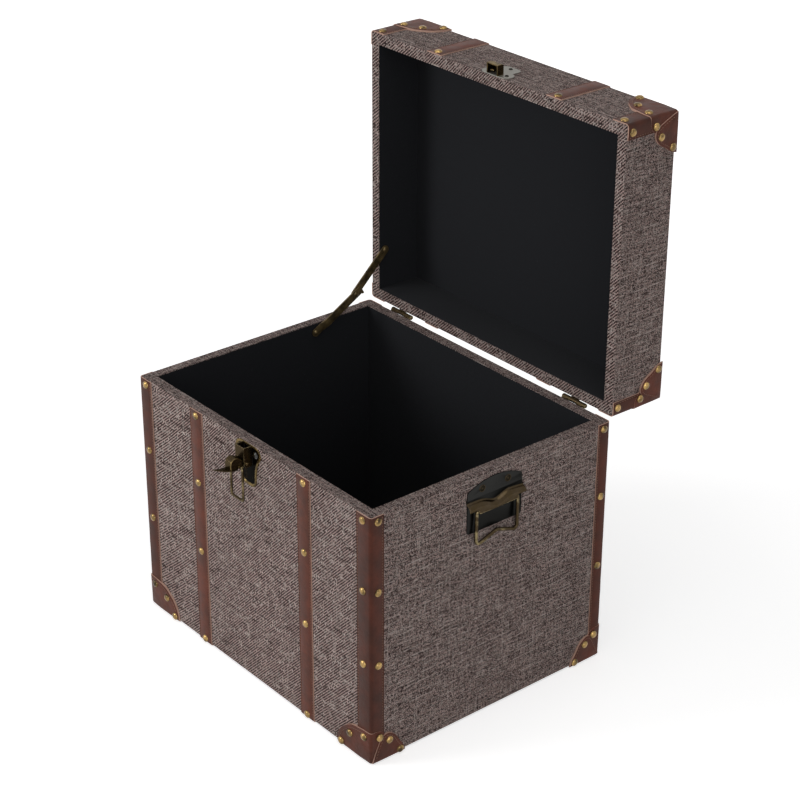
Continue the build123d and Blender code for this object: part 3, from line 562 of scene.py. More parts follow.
def pick(piece, kind, test):
    """Enters edit mode with just the faces or edges selected that pass a test on their middle."""
    only(piece)
    bpy.ops.object.mode_set(mode="EDIT")
    bpy.ops.mesh.select_mode(type=kind)
    bpy.ops.mesh.select_all(action="DESELECT")
    bpy.ops.object.mode_set(mode="OBJECT")
    mesh = piece.data
    if kind == "FACE":
        for face in mesh.polygons:
            face.select = test(face.center, face.normal)
    else:
        for edge in mesh.edges:
            first, last = (mesh.vertices[i].co for i in edge.vertices)
            edge.select = test((first + last) / 2, (last - first).normalized())
    bpy.ops.object.mode_set(mode="EDIT")


def done():
    bpy.ops.object.mode_set(mode="OBJECT")


def open_up(piece):
    """Enters edit mode with the whole piece selected."""
    only(piece)
    bpy.ops.object.mode_set(mode="EDIT")
    bpy.ops.mesh.select_all(action="SELECT")


def turn_outwards(piece):
    open_up(piece)
    bpy.ops.mesh.normals_make_consistent(inside=False)
    done()


def slice_at(piece, places, normal):
    """Cuts new edges across the whole piece on parallel planes."""
    open_up(piece)
    bpy.ops.mesh.select_mode(type="FACE")
    for place in places:
        bpy.ops.mesh.select_all(action="SELECT")
        bpy.ops.mesh.bisect(plane_co=place, plane_no=normal)
    done()


def twin(piece, name, matrix):
    """A copy with its own mesh, mirrored or moved by a matrix."""
    copy = bpy.data.objects.new(name, piece.data.copy())
    bpy.context.scene.collection.objects.link(copy)
    copy.data.name = name
    return settle(copy, matrix)


def joined(name, pieces):
    bpy.ops.object.select_all(action="DESELECT")
    for piece in pieces:
        piece.select_set(True)
    bpy.context.view_layer.objects.active = pieces[0]
    if len(pieces) > 1:
        bpy.ops.object.join()
    return named(name)


def stands_for(piece, body, slot, *nodes):
    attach(piece, body)
    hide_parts(*nodes)


def refined(node, width, *finishes, segments=2):
    """A merged copy of a CAD node with eased edges; the second finish goes on the edges."""
    source = frame["nodes"][node]
    piece = twin(source, node + "_eased", AS_IS)
    open_up(piece)
    bpy.ops.mesh.remove_doubles(threshold=MERGE)
    bpy.ops.mesh.dissolve_limited(angle_limit=radians(0.5))
    done()
    bpy.ops.mesh.customdata_custom_splitnormals_clear()
    dress(piece, *finishes)
    if width:
        ease(piece, width, segments, material=1 if len(finishes) > 1 else -1)
        flatten(piece)
    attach(piece, source["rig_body"])
    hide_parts(node)
    return piece


# Leather bands: straps and corner strips


def band(name, corners, moves):
    """A strip of skin: a first rectangle, then runs and turns of its last edge."""
    piece = fresh(name, bpy.ops.mesh.primitive_plane_add, size=1)
    for index, corner in zip((0, 1, 3, 2), corners):
        piece.data.vertices[index].co = corner
    piece.data.update()
    end = (Vector(corners[2]) + Vector(corners[3])) / 2
    pick(piece, "EDGE", lambda middle, along: (middle - end).length < 0.0001)
    for move in moves:
        if len(move) == 1:
            bpy.ops.mesh.extrude_region_move(TRANSFORM_OT_translate={"value": move[0]})
        else:
            centre, axis, angle = move
            bpy.ops.mesh.spin(steps=5, angle=radians(-angle), center=centre, axis=axis)
    bpy.ops.mesh.select_all(action="SELECT")
    bpy.ops.mesh.remove_doubles(threshold=0.000001)
    done()
    dress(piece, "leather", "edge")
    return piece


def thicken(piece, thickness, outward):
    """Gives the skin its thickness on the side of a point that is far outside it."""
    face = piece.data.polygons[0]
    side = 1 if face.normal.dot(Vector(outward)) > 0 else -1
    use(piece, "SOLIDIFY", thickness=thickness, offset=side, use_even_offset=True, material_offset_rim=1)
    turn_outwards(piece)


def groove(piece, test):
    """Presses a narrow run of outer faces into the leather."""
    pick(piece, "FACE", lambda co, normal: faces_out(co, normal) and test(co))
    bpy.ops.mesh.extrude_region_shrink_fatten(TRANSFORM_OT_shrink_fatten={"value": -GROOVE_DEPTH})
    done()


def strap_piece(name, first, last, moves, inset):
    """The right strap of the body or the lid, from one height on the front to another and on through its moves."""
    left, right, y = STRAP_X - STRAP_HALF, STRAP_X + STRAP_HALF, -HALF_DEPTH
    piece = band(name, [(left, y, first), (right, y, first), (right, y, last), (left, y, last)], moves)
    middle = STRAP_HALF - inset
    lines = [STRAP_X + side * (middle + step) for side in (-1, 1) for step in (-GROOVE_HALF, GROOVE_HALF)]
    slice_at(piece, [(line, 0, 0) for line in lines], (1, 0, 0))
    slice_at(piece, [(0, 0, LUMP_STEP * step) for step in range(1, 34)], (0, 0, 1))
    slice_at(piece, [(0, LUMP_STEP * step, 0) for step in range(-15, 16)], (0, 1, 0))
    thicken(piece, LEATHER, (0, -1, 0))
    crown(piece, lambda co: max(0.0, 1 - ((co.x - STRAP_X) / STRAP_HALF) ** 2) * 0.0003)
    groove(piece, lambda co: abs(abs(co.x - STRAP_X) - middle) < 0.0003)
    return leather_finish(piece)


def body_strap_piece(inset):
    """The right front strap, turned under the base."""
    low = CLOTH_LOW + 0.0012
    moves = [((0, LEATHER - HALF_DEPTH, low), (1, 0, 0), 90), ((0, 0.0078, 0),)]
    return strap_piece("body_strap", BODY_TOP - SHORT, low, moves, inset)


def lid_strap_piece(inset):
    """The right lid strap, made closed, over the front, the top and the back."""
    low, top, y = LID_RIM + SHORT, LID_TOP - LEATHER, HALF_DEPTH - LEATHER
    moves = [((0, -y, top), (1, 0, 0), -90), ((0, 2 * y, 0),), ((0, y, top), (1, 0, 0), -90), ((0, 0, low - top),)]
    return strap_piece("lid_strap", low, top, moves, inset)


def faces_out(co, normal):
    """True on the outer skin of a band that lies on the trunk."""
    beyond_side = abs(co.x) > HALF_WIDTH + SKIN and abs(normal.x) > 0.9
    beyond_end = abs(co.y) > HALF_DEPTH + SKIN and abs(normal.y) > 0.9
    beyond_top = co.z > LID_TOP + SKIN and normal.z > 0.9
    return beyond_side or beyond_end or beyond_top


def crown(piece, rise):
    """Lifts the outer skin, so a band is a little thicker along its middle."""
    for vertex in piece.data.vertices:
        co = vertex.co
        if abs(co.y) > HALF_DEPTH + SKIN:
            co.y += rise(co) * (1 if co.y > 0 else -1)
        elif co.z > LID_TOP + SKIN:
            co.z += rise(co)
    piece.data.update()


def leather_finish(piece):
    lumpy(piece, "leather_lumps", 0.012, 0.00035)
    return ease(piece, 0.00022, angle=50)


def corner_strip_piece(name, low, high, inset):
    """The angle of leather on the front right upright edge."""
    radius = 0.0025
    x0, x1 = HALF_WIDTH - STRIP_FRONT, HALF_WIDTH - radius
    y0, y1 = -HALF_DEPTH, -HALF_DEPTH + STRIP_SIDE
    piece = band(name, [(x0, y0, low), (x0, y0, high), (x1, y0, high), (x1, y0, low)],
                 [((x1, y0 + radius, 0), (0, 0, 1), 90), ((0, STRIP_SIDE - radius, 0),)])
    for step in (-GROOVE_HALF, GROOVE_HALF):
        slice_at(piece, [(x0 + inset + step, 0, 0)], (1, 0, 0))
        slice_at(piece, [(0, y1 - inset + step, 0)], (0, 1, 0))
    slice_at(piece, [(0, 0, LUMP_STEP * step) for step in range(1, 35)], (0, 0, 1))
    thicken(piece, LEATHER, (0, -1, 0))
    groove(piece, lambda co: abs(co.x - x0 - inset) < 0.0003 or abs(co.y - y1 + inset) < 0.0003)
    piece.data.materials[0] = FINISHES["dark_leather"]
    return leather_finish(piece)


# Stitches


def stitch_row(points, sizes):
    """Copies one stitch along a line of points."""
    length = sum((Vector(b) - Vector(a)).length for a, b in zip(points, points[1:]))
    count = max(2, int(length / sizes.stitch_pitch))
    piece = ball("stitch", 6, 5, 1)
    piece.data.transform(Matrix.Diagonal((sizes.stitch_radius, sizes.stitch_radius * 1.5,
                                          sizes.stitch_pitch * 0.40, 1)))
    piece.rotation_euler = (0, radians(90), 0)
    bpy.context.view_layer.update()
    settle(piece)
    settle(piece, Matrix.Translation((sizes.stitch_pitch / 2, 0, 0)))
    use(piece, "ARRAY", count=count, use_relative_offset=False, use_constant_offset=True,
        constant_offset_displace=(length / count, 0, 0))
    path = bpy.data.curves.new("stitch_path", "CURVE")
    path.dimensions = "3D"
    spline = path.splines.new("POLY")
    spline.points.add(len(points) - 1)
    for target, point in zip(spline.points, points):
        target.co = (*point, 1)
    holder = bpy.data.objects.new("stitch_path", path)
    bpy.context.scene.collection.objects.link(holder)
    use(piece, "CURVE", object=holder, deform_axis="POS_X")
    discard(holder)
    return piece


# Corner patches


def rounded(points):
    """Cuts the corners of an open outline three times over, which leaves a smooth curve."""
    for _ in range(3):
        cuts = [points[0]]
        for (x0, y0), (x1, y1) in zip(points, points[1:]):
            cuts.append((x0 * 0.75 + x1 * 0.25, y0 * 0.75 + y1 * 0.25))
            cuts.append((x0 * 0.25 + x1 * 0.75, y0 * 0.25 + y1 * 0.75))
        points = cuts + [points[-1]]
    return points


# Outlines of the patch, (inward from the corner, height) in millimetres
FRONT_OUTLINE = [(51.5, -6), (51.5, 3), (50.5, 12), (45, 21.5), (36.5, 28.5), (27.5, 34), (17.5, 35.6), (8, 36.8),
                 (-7, 36.8)]
WRAP_OUTLINE = [(17, -6), (17, 30), (12, 35), (6, 36.8), (-7, 36.8)]
FLAP_OUTLINE = [(41, -6), (40.8, 2), (38.5, 9), (33.5, 15.5), (29, 24.5), (21, 30.8), (14, 30), (9.5, 25), (5, 15.5),
                (0.8, 4.5), (-1, -6)]
UNDER_OUTLINE = [(38, -6), (38, 8), (30, 24), (18, 32), (-6, 32)]


def drawn_in(points, gap):
    """The outline moved towards the corner, for the stitches inside it."""
    moved = []
    for index, (x, y) in enumerate(points):
        before, after = points[max(0, index - 1)], points[min(len(points) - 1, index + 1)]
        along = Vector((after[0] - before[0], after[1] - before[1])).normalized()
        moved.append((x - along.y * gap, y + along.x * gap))
    return moved


def slab(name, corners, thickness):
    """A flat plate with any outline, made from a circle's corners and extruded."""
    piece = fresh(name, bpy.ops.mesh.primitive_circle_add, vertices=len(corners), fill_type="NGON")
    for vertex, corner in zip(piece.data.vertices, corners):
        vertex.co = corner
    piece.data.update()
    pick(piece, "FACE", lambda co, normal: True)
    bpy.ops.mesh.extrude_region_move(TRANSFORM_OT_translate={"value": thickness})
    bpy.ops.mesh.select_all(action="SELECT")
    bpy.ops.mesh.normals_make_consistent(inside=False)
    done()
    return piece


def outline_cutter(name, outline, place, thickness):
    """A thick plate with a smooth outline; place turns (inward, height) into a point of the plate."""
    points = rounded(outline)
    if points[-1][1] > 0:
        points = points + [(points[-1][0], -6)]
    piece = slab(name, [place(inward / 1000, height / 1000) for inward, height in points], thickness)
    dress(piece, "edge")
    return piece


def on_front(y):
    return lambda inward, height: (HALF_WIDTH - inward, y, height)


def on_side(x):
    return lambda inward, height: (x, -HALF_DEPTH + inward, height)


def on_base(z):
    return lambda inward, back: (HALF_WIDTH - inward, -HALF_DEPTH + back, z)


def rounded_block(name, low, high, radius):
    """A block whose front, right and lower edges round into one corner."""
    piece = cube(name, low, high)
    corner = Vector((high[0], low[1], low[2]))
    pick(piece, "EDGE", lambda middle, along: sum(abs(middle[i] - corner[i]) < 1e-5 for i in range(3)) == 2)
    bpy.ops.mesh.bevel(offset=radius, segments=5, affect="EDGES")
    done()
    use(piece, "SUBSURF", subdivision_type="SIMPLE", levels=2, render_levels=2)
    lumpy(piece, "patch_puckers", 0.013, 0.0018)
    for vertex in piece.data.vertices:
        vertex.co.z = max(vertex.co.z, low[2])
    dress(piece, "corner_leather", "edge")
    return piece


def patch_piece(name, under):
    """The patch on the front right lower corner: a wrap over the edge and a flap over the side."""
    low_z = CLOTH_LOW - under
    along_x, along_y, high_z = HALF_WIDTH - 0.062, -HALF_DEPTH + 0.050, 0.046     # a little beyond the outlines
    wrap = rounded_block(name + "_wrap", (along_x, -HALF_DEPTH - 0.0021, low_z),
                         (HALF_WIDTH + 0.0014, along_y, high_z), 0.0034)
    keep = outline_cutter("keep_front", FRONT_OUTLINE, on_front(-HALF_DEPTH - 0.006), (0, 0.0065, 0))
    cut(keep, outline_cutter("keep_side", WRAP_OUTLINE, on_side(HALF_WIDTH - 0.0005), (0.006, 0, 0)), "UNION")
    cut(keep, outline_cutter("keep_base", UNDER_OUTLINE, on_base(low_z - 0.004), (0, 0, 0.0045 + under)), "UNION")
    cut(keep, cube("core", (HALF_WIDTH - 0.08, -HALF_DEPTH, CLOTH_LOW), (HALF_WIDTH, 0, 0.06)), "DIFFERENCE")
    cut(wrap, keep, "INTERSECT")
    flap = rounded_block(name + "_flap", (HALF_WIDTH - 0.004, -HALF_DEPTH - 0.0014, low_z),
                         (HALF_WIDTH + 0.0024, along_y, high_z), 0.0030)
    keep = outline_cutter("keep_flap", FLAP_OUTLINE, on_side(HALF_WIDTH + 0.0002), (0.006, 0, 0))
    cut(flap, keep, "INTERSECT")
    for piece in (wrap, flap):
        ease(piece, ROUNDING, angle=50)
    return joined(name, [wrap, flap])


def patch_stitches(sizes):
    """Stitch rows that follow the outline of the front right lower patch."""
    front, flap = drawn_in(rounded(FRONT_OUTLINE), 3.6), drawn_in(rounded(FLAP_OUTLINE), 2.6)
    rows = [[on_front(-HALF_DEPTH - 0.0023)(x / 1000, y / 1000) for x, y in front if x > 2.5 and y > 1],
            [on_side(HALF_WIDTH + 0.0025)(x / 1000, y / 1000) for x, y in flap if x > 3.5 and y > 5]]
    return [stitch_row(row, sizes) for row in rows]


# Tacks


def tack_piece(sizes):
    """One domed tack on z = 0 facing up, with a skirt that reaches a little below its seat."""
    brim, skirt = 0.00005, 0.0010
    piece = ball("tack", 20, 14, 1, scale=(sizes.tack_radius, sizes.tack_radius, sizes.tack_rise))
    open_up(piece)
    bpy.ops.mesh.bisect(plane_co=(0, 0, brim), plane_no=(0, 0, 1), clear_inner=True)
    done()
    pick(piece, "EDGE", lambda middle, along: abs(middle.z - brim) < 1e-6)
    bpy.ops.mesh.extrude_region_move(TRANSFORM_OT_translate={"value": (0, 0, -skirt)})
    done()
    dress(piece, "tack")
    bpy.ops.object.shade_smooth()
    return piece


def tack_seats_of_corner(heights, patch_at, up):
    """Seats of the front right corner: (point, outward)."""
    front, side = (0, -1, 0), (1, 0, 0)
    seats = []
    for height in heights:
        seats += [((HALF_WIDTH - STRIP_TACK_FRONT, -HALF_DEPTH - LEATHER, height), front),
                  ((HALF_WIDTH + LEATHER, -HALF_DEPTH + STRIP_TACK_SIDE, height), side)]
    for inward, rise in FRONT_PATCH_TACKS:
        seats.append(((HALF_WIDTH - inward, -HALF_DEPTH - PATCH, patch_at + up * rise), front))
    for inward, rise in SIDE_PATCH_TACKS:
        seats.append(((HALF_WIDTH + PATCH, -HALF_DEPTH + inward, patch_at + up * rise), side))
    return seats


def mirrored_seats(seats):
    """The seats of one corner carried to all four."""
    return [(flip @ Vector(point), flip.to_3x3() @ Vector(outward))
            for _, flip in CORNERS for point, outward in seats]


def place_tacks(name, model, seats, matrix, seed):
    """Copies of the tack on every seat, each turned and tilted a little its own way."""
    chance, lean = random.Random(seed), 4
    copies = []
    for point, outward in seats:
        turn = Vector((0, 0, 1)).rotation_difference(matrix.to_3x3() @ Vector(outward)).to_matrix().to_4x4()
        tilt = Matrix.Rotation(radians(chance.uniform(-lean, lean)), 4, "X")
        spin = Matrix.Rotation(chance.uniform(0, 2 * pi), 4, "Z")
        copies.append(twin(model, "tack_copy", Matrix.Translation(matrix @ Vector(point)) @ turn @ tilt @ spin))
    return joined(name, copies)


# Operators


class TRUNK_OT_finishes(bpy.types.Operator):
    """Makes the materials and puts them on the boards, the cloth and the lining"""

    bl_idname = "trunk.finishes"
    bl_label = "Cloth, lining and boards"

    def execute(self, context):
        make_finishes(context.scene.trunk_sizes, context.scene.trunk_colours)
        covers = {"body_cloth_cover": "cloth", "lid_cloth_cover": "lid_cloth", "body_lining": "lining",
                  "lid_lining": "lining", "base_sheet": "felt"}
        for name, node in frame["nodes"].items():
            if name in covers:
                dress(node, covers[name])
            elif name.endswith("_board"):
                dress(node, "board")
        return {"FINISHED"}


def lay(places, *kinds):
    """
    At each place, a copy of every kind's model stands for the CAD node of that place.
    A kind is (model, matrix after the place's own, matrix before it, name, body, node).
    """
    for place, flip in places:
        for model, after, before, name, body, node in kinds:
            stands_for(twin(model, name + place, after @ flip @ before), body, "leather", node + place)
    discard(*(kind[0] for kind in kinds))


class TRUNK_OT_straps(bpy.types.Operator):
    """Models the leather straps of the body and the lid"""

    bl_idname = "trunk.straps"
    bl_label = "Leather straps"

    def execute(self, context):
        inset = context.scene.trunk_sizes.stitch_inset
        lay(SIDES, (body_strap_piece(inset), AS_IS, AS_IS, "front_strap_", "trunk", "body_front_strap_"),
            (lid_strap_piece(inset), OPEN_LID, AS_IS, "lid_band_", "lid", "lid_strap_"))
        return {"FINISHED"}


class TRUNK_OT_corner_strips(bpy.types.Operator):
    """Models the leather strips on the upright edges"""

    bl_idname = "trunk.corner_strips"
    bl_label = "Leather corner strips"

    def execute(self, context):
        inset = context.scene.trunk_sizes.stitch_inset
        body = corner_strip_piece("body_strip", CLOTH_LOW + SHORT, BODY_TOP - SHORT, inset)
        lid = corner_strip_piece("lid_strip", LID_RIM + SHORT, LID_TOP - SHORT, inset)
        lid_strips = []
        for corner, flip in CORNERS:
            stands_for(twin(body, "edge_strip_" + corner, flip), "trunk", "leather", "body_corner_strip_" + corner)
            lid_strips.append(twin(lid, "lid_edge_strip", OPEN_LID @ flip))
        stands_for(joined("lid_edge_strips", lid_strips), "lid", "leather", "lid_corner_strips")
        discard(body, lid)
        return {"FINISHED"}


class TRUNK_OT_patches(bpy.types.Operator):
    """Models the lobed leather patches on the corners"""

    bl_idname = "trunk.patches"
    bl_label = "Leather corner patches"

    def execute(self, context):
        lay(CORNERS, (patch_piece("body_patch", 0.0012), AS_IS, AS_IS, "foot_patch_", "trunk", "body_corner_patch_"),
            (patch_piece("lid_patch", 0.0022), OPEN_LID, LID_FLIP, "lid_patch_", "lid", "lid_corner_patch_"))
        return {"FINISHED"}


class TRUNK_OT_stitches(bpy.types.Operator):
    """Sews the stitch rows of straps, strips and patches"""

    bl_idname = "trunk.stitches"
    bl_label = "Stitches"

    def execute(self, context):
        sizes = context.scene.trunk_sizes
        inset = sizes.stitch_inset

        def upright(x, y, low, high):
            return stitch_row([(x, y, low), (x, y, high)], sizes)

        front, side, top = -HALF_DEPTH - SEAM_OUT, HALF_WIDTH + SEAM_OUT, LID_TOP + SEAM_OUT
        rim, low, high, back = BODY_TOP - SEAM_END, LID_RIM + SEAM_END, LID_TOP - SEAM_END, HALF_DEPTH - SEAM_END
        body, lid = [], []
        for edge in (-1, 1):
            x = STRAP_X + edge * (STRAP_HALF - inset)
            body.append(upright(x, front, SEAM_FOOT, rim))
            lid += [upright(x, front, low, high), upright(x, -front, low, high),
                    stitch_row([(x, -back, top), (x, back, top)], sizes)]
        straps, lid_straps = joined("body_rows", body), joined("lid_rows", lid)
        x, y = HALF_WIDTH - STRIP_FRONT + inset, -HALF_DEPTH + STRIP_SIDE - inset
        corner = [upright(x, front, PATCH_REACH, rim), upright(side, y, PATCH_REACH, rim)]
        high = LID_TOP - PATCH_REACH
        lid_corner = [upright(x, front, low, high), upright(side, y, low, high)]
        patch = joined("patch_rows", patch_stitches(sizes))
        corner, lid_corner = joined("corner_rows", corner), joined("lid_corner_rows", lid_corner)
        body_all = [twin(straps, "rows", flip) for _, flip in SIDES]
        lid_all = [twin(lid_straps, "rows", OPEN_LID @ flip) for _, flip in SIDES]
        for _, flip in CORNERS:
            body_all += [twin(corner, "rows", flip), twin(patch, "rows", flip)]
            lid_all += [twin(lid_corner, "rows", OPEN_LID @ flip), twin(patch, "rows", OPEN_LID @ flip @ LID_FLIP)]
        for name, rows, rider in (("body_stitches", body_all, "trunk"), ("lid_stitches", lid_all, "lid")):
            piece = joined(name, rows)
            dress(piece, "stitch")
            bpy.ops.object.shade_smooth()
            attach(piece, rider)
        discard(straps, lid_straps, patch, corner, lid_corner)
        return {"FINISHED"}


class TRUNK_OT_tacks(bpy.types.Operator):
    """Drives the domed tacks"""

    bl_idname = "trunk.tacks"
    bl_label = "Domed tacks"

    def execute(self, context):
        model = tack_piece(context.scene.trunk_sizes)
        seats = mirrored_seats(tack_seats_of_corner(STRIP_TACK_HEIGHTS, 0, 1))
        for height in STRIP_TACK_HEIGHTS + [STRAP_FOOT_TACK]:
            for side in (-1, 1):
                seats.append(((side * STRAP_X, -HALF_DEPTH - LEATHER, height), (0, -1, 0)))
        lid_corner = tack_seats_of_corner([LID_TACK_HEIGHT], LID_TOP, -1)
        for inward, back in TOP_PATCH_TACKS:
            lid_corner.append(((HALF_WIDTH - inward, -HALF_DEPTH + back, LID_TOP + PATCH), (0, 0, 1)))
        lid_seats = mirrored_seats(lid_corner)
        for side in (-1, 1):
            for face in (-1, 1):
                lid_seats.append(((side * STRAP_X, face * (HALF_DEPTH + LEATHER), LID_TACK_HEIGHT), (0, face, 0)))
        body = place_tacks("body_tack_heads", model, seats, AS_IS, 3)
        stands_for(body, "trunk", "tack_brass", "body_tacks")
        lid = place_tacks("lid_tack_heads", model, lid_seats, OPEN_LID, 5)
        stands_for(lid, "lid", "tack_brass", "lid_tacks")
        discard(model)
        return {"FINISHED"}


def thicker(node, extra, finish):
    """A copy of a CAD wire, a little thicker all round."""
    piece = refined(node, 0.0, finish)
    use(piece, "DISPLACE", strength=extra, mid_level=0.0)
    bpy.ops.object.shade_smooth()
    return piece


EAR_X, EAR_Z = 0.0125, 0.268    # middle of the latch plate's right ear and of its rivet
RIVET_SCALE = 1.3
BAIL_LOW, BAIL_DOWN = 0.2235, 0.0003        # the bail's crossbar lies below this and goes down to clear the hood
KEEPER_FACE = HINGE_PIN.z + HINGE_PIN.y + HALF_DEPTH + 0.0011    # the plate's outer face, with the lid open
HOOD_TOP = HINGE_PIN.y + 0.0075             # the hood's two ends, and how far they move towards the rim
HOOD_RIM = HINGE_PIN.y + 0.0025
TOP_MOVE, RIM_MOVE = 0.0002, 0.0008


def latch_plate_piece():
    """The eared plate with a raised bright border round a dark field."""
    ear_x, ear_z, ear = 1000 * EAR_X, 1000 * EAR_Z, 8.0
    half = [(0, 276.5), (ear_x, 276.5)]
    half += [(ear_x + ear * cos(radians(a)), ear_z + ear * sin(radians(a))) for a in range(80, -33, -14)]
    half += [(17.6, 261.4), (16.0, 258.4), (14.6, 255.0), (13.6, 251.6), (12.9, 248.0), (12.5, 244.0)]
    half += [(4.5 + 8 * cos(radians(a)), 238.0 - 8 * sin(radians(a))) for a in range(0, 91, 15)]
    outline = half + [(-x, z) for x, z in reversed(half[1:])]
    corners = [(x / 1000, -HALF_DEPTH, z / 1000) for x, z in outline]
    piece = slab("latch_plate", corners, (0, -0.0010, 0))
    dress(piece, "rim", "dark")
    pick(piece, "FACE", lambda co, normal: normal.y < -0.9 and co.y < -HALF_DEPTH - 0.0005)
    bpy.ops.mesh.inset(thickness=0.0024, depth=0)
    bpy.ops.mesh.inset(thickness=0.0004, depth=-0.0006)
    bpy.context.object.active_material_index = 1
    bpy.ops.object.material_slot_assign()
    done()
    ease(piece, 0.00035, 3, 50)
    return flatten(piece)


def latch_lever_piece():
    """Barrels, a humped arm with a rounded end, and a curved thumb leaf."""
    outline = [(5.8, 16.6), (8.0, 15.7), (12.0, 13.5), (15.0, 10.8), (17.5, 9.7), (20.5, 9.6), (23.0, 10.6),
               (24.8, 12.9), (25.5, 16.0), (25.6, 20.6), (24.2, 22.2), (17.0, 22.6), (11.0, 21.6), (5.8, 19.6)]
    half = 0.005
    corners = [(-half, -HALF_DEPTH - out / 1000, BODY_TOP - drop / 1000) for out, drop in outline]
    arm = slab("arm", corners, (2 * half, 0, 0))
    dress(arm, "brass", "rim")
    ease(arm, 0.0009, 3, 60, material=1)
    flatten(arm)
    leaf = fresh("leaf", bpy.ops.mesh.primitive_grid_add, x_subdivisions=10, y_subdivisions=18, size=2)
    root, length, taper_from, taper, widest, narrower = 17.5, 24.6, 23.5, 16.9, 6.2, 4.8    # millimetres
    for vertex in leaf.data.vertices:
        side, along = vertex.co.x, (vertex.co.y + 1) / 2
        out = root + length * along
        narrow = max(0.0, (out - taper_from) / taper)
        half = widest - narrower * narrow ** 0.85
        out -= 1.0 * side * side * narrow
        drop = 21.6 - 1.2 * along - 4.2 * along ** 2.4 + 0.7 * side * side * (1 - 0.5 * along)
        vertex.co = (side * half / 1000, -HALF_DEPTH - out / 1000, BODY_TOP - drop / 1000)
    leaf.data.update()
    dress(leaf, "brass", "rim")
    use(leaf, "SOLIDIFY", thickness=0.0011, offset=0)
    ease(leaf, ROUNDING, angle=50)
    flatten(leaf)
    pieces = [arm, leaf]
    for radius, out, drop in ((0.0026, 0.008, 0.018), (0.0020, 0.015, 0.020)):
        barrel = fresh("barrel", bpy.ops.mesh.primitive_cylinder_add, vertices=32, radius=radius, depth=0.012,
                       location=(0, -HALF_DEPTH - out, BODY_TOP - drop), rotation=(0, radians(90), 0))
        dress(barrel, "brass", "rim")
        ease(barrel, ROUNDING, angle=50, material=1)
        pieces.append(flatten(barrel))
    return joined("latch_lever_arm", pieces)


def shifted(piece, moves):
    """Moves the vertices that pass a test; a vertex takes the first move that fits it."""
    for vertex in piece.data.vertices:
        for test, move in moves:
            if test(vertex.co):
                vertex.co += Vector(move)
                break


class TRUNK_OT_latch(bpy.types.Operator):
    """Models the latch plate, lever and bail, and eases the socket, rivets and keeper"""

    bl_idname = "trunk.latch"
    bl_label = "Latch and keeper"

    def execute(self, context):
        stands_for(latch_plate_piece(), "trunk", "antique_brass", "latch_base_plate")
        stands_for(latch_lever_piece(), "latch_lever", "antique_brass", "latch_lever")
        refined("latch_socket", 0.00045, "brass", "worn", segments=3)
        rivets = refined("latch_rivets", 0.0002, "rivet")
        for vertex in rivets.data.vertices:
            side = 1 if vertex.co.x > 0 else -1
            middle = Vector((side * EAR_X, vertex.co.y, EAR_Z))
            vertex.co = middle + RIVET_SCALE * (vertex.co - middle)
        bpy.ops.object.shade_smooth()
        refined("latch_pivot_pin", 0.0002, "worn")
        bail = thicker("latch_bail", 0.0005, "wire")
        shifted(bail, [(lambda co: co.z < BAIL_LOW, (0, 0, -BAIL_DOWN))])
        keeper = refined("keeper_plate", ROUNDING, "plate", "rim", "brass")
        # Raised faces that point up with the lid open take the pale rim finish, and the other raised faces take the
        # darker brass: painted light on the hood's top and painted shade on its sides.
        for face in keeper.data.polygons:
            height, level = face.center.z - KEEPER_FACE, face.normal.z > 0.9
            if height > 0 and face.material_index == 0 and not level:
                face.material_index = 2
            elif height > 0.002 and level:
                face.material_index = 1
            elif height <= 0:
                face.material_index = 0
        shifted(keeper, [(lambda co: co.z > KEEPER_FACE and co.y > HOOD_TOP, (0, -TOP_MOVE, 0)),
                         (lambda co: co.z > KEEPER_FACE and co.y < HOOD_RIM, (0, -RIM_MOVE, 0))])
        refined("keeper_screws", 0.0001, "dark")
        return {"FINISHED"}


def lip_piece():
    """The right handle's lip: an awning with a finger dip in the middle, in millimetres along and up the side."""
    rows = [-36.4, -36, -35, -33.5, -31.5, -29, -26.5, -24.9, -24.4]
    rows += [2.0 * step for step in range(-12, 13)] + [-row for row in reversed(rows)]
    section = [(0.2, 4.2), (0.6, 2.4), (1.2, 1.1), (2.1, 0.3), (3.7, -0.3), (5.4, -1.4), (6.6, -3.0), (7.1, -4.8)]
    piece = fresh("handle_lip", bpy.ops.mesh.primitive_grid_add, x_subdivisions=len(rows) - 1,
                  y_subdivisions=len(section), size=2)
    dress(piece, "rubbed", "worn", "dark")
    # The two rows next to the crease take the blackened finish: painted shade in the crease.
    for face in piece.data.polygons:
        if (face.center.y + 1) / 2 * len(section) < 2:
            face.material_index = 2
    ridge, dip, droop = 248.6, 5.4, 2.2     # the crease's height, its dip in the middle and its fall at one end
    for vertex in piece.data.vertices:
        row = rows[round((vertex.co.x + 1) / 2 * (len(rows) - 1))]
        step = round((vertex.co.y + 1) / 2 * len(section))
        crease = ridge - dip * 2.718 ** (-((row + 1) / 11) ** 2) - droop * max(0.0, (row - 16) / 20)
        low = 236.9 if abs(row) < 24.6 else 241.9       # the lip's lower edge is higher near its ends
        out, rise = section[step] if step < len(section) else (7.2, -99)
        height = max(crease + rise, low + 0.4 * (len(section) - step))
        vertex.co = (HALF_WIDTH + out / 1000, row / 1000, height / 1000)
    piece.data.update()
    outward = 1 if piece.data.polygons[len(rows)].normal.x > 0 else -1
    use(piece, "SOLIDIFY", thickness=0.0007, offset=-outward, material_offset_rim=1)
    turn_outwards(piece)
    use(piece, "SUBSURF", levels=1, render_levels=1)
    bpy.ops.object.shade_smooth()
    return piece


EYELET_Y, EYELET_Z = 0.0165, 0.2605


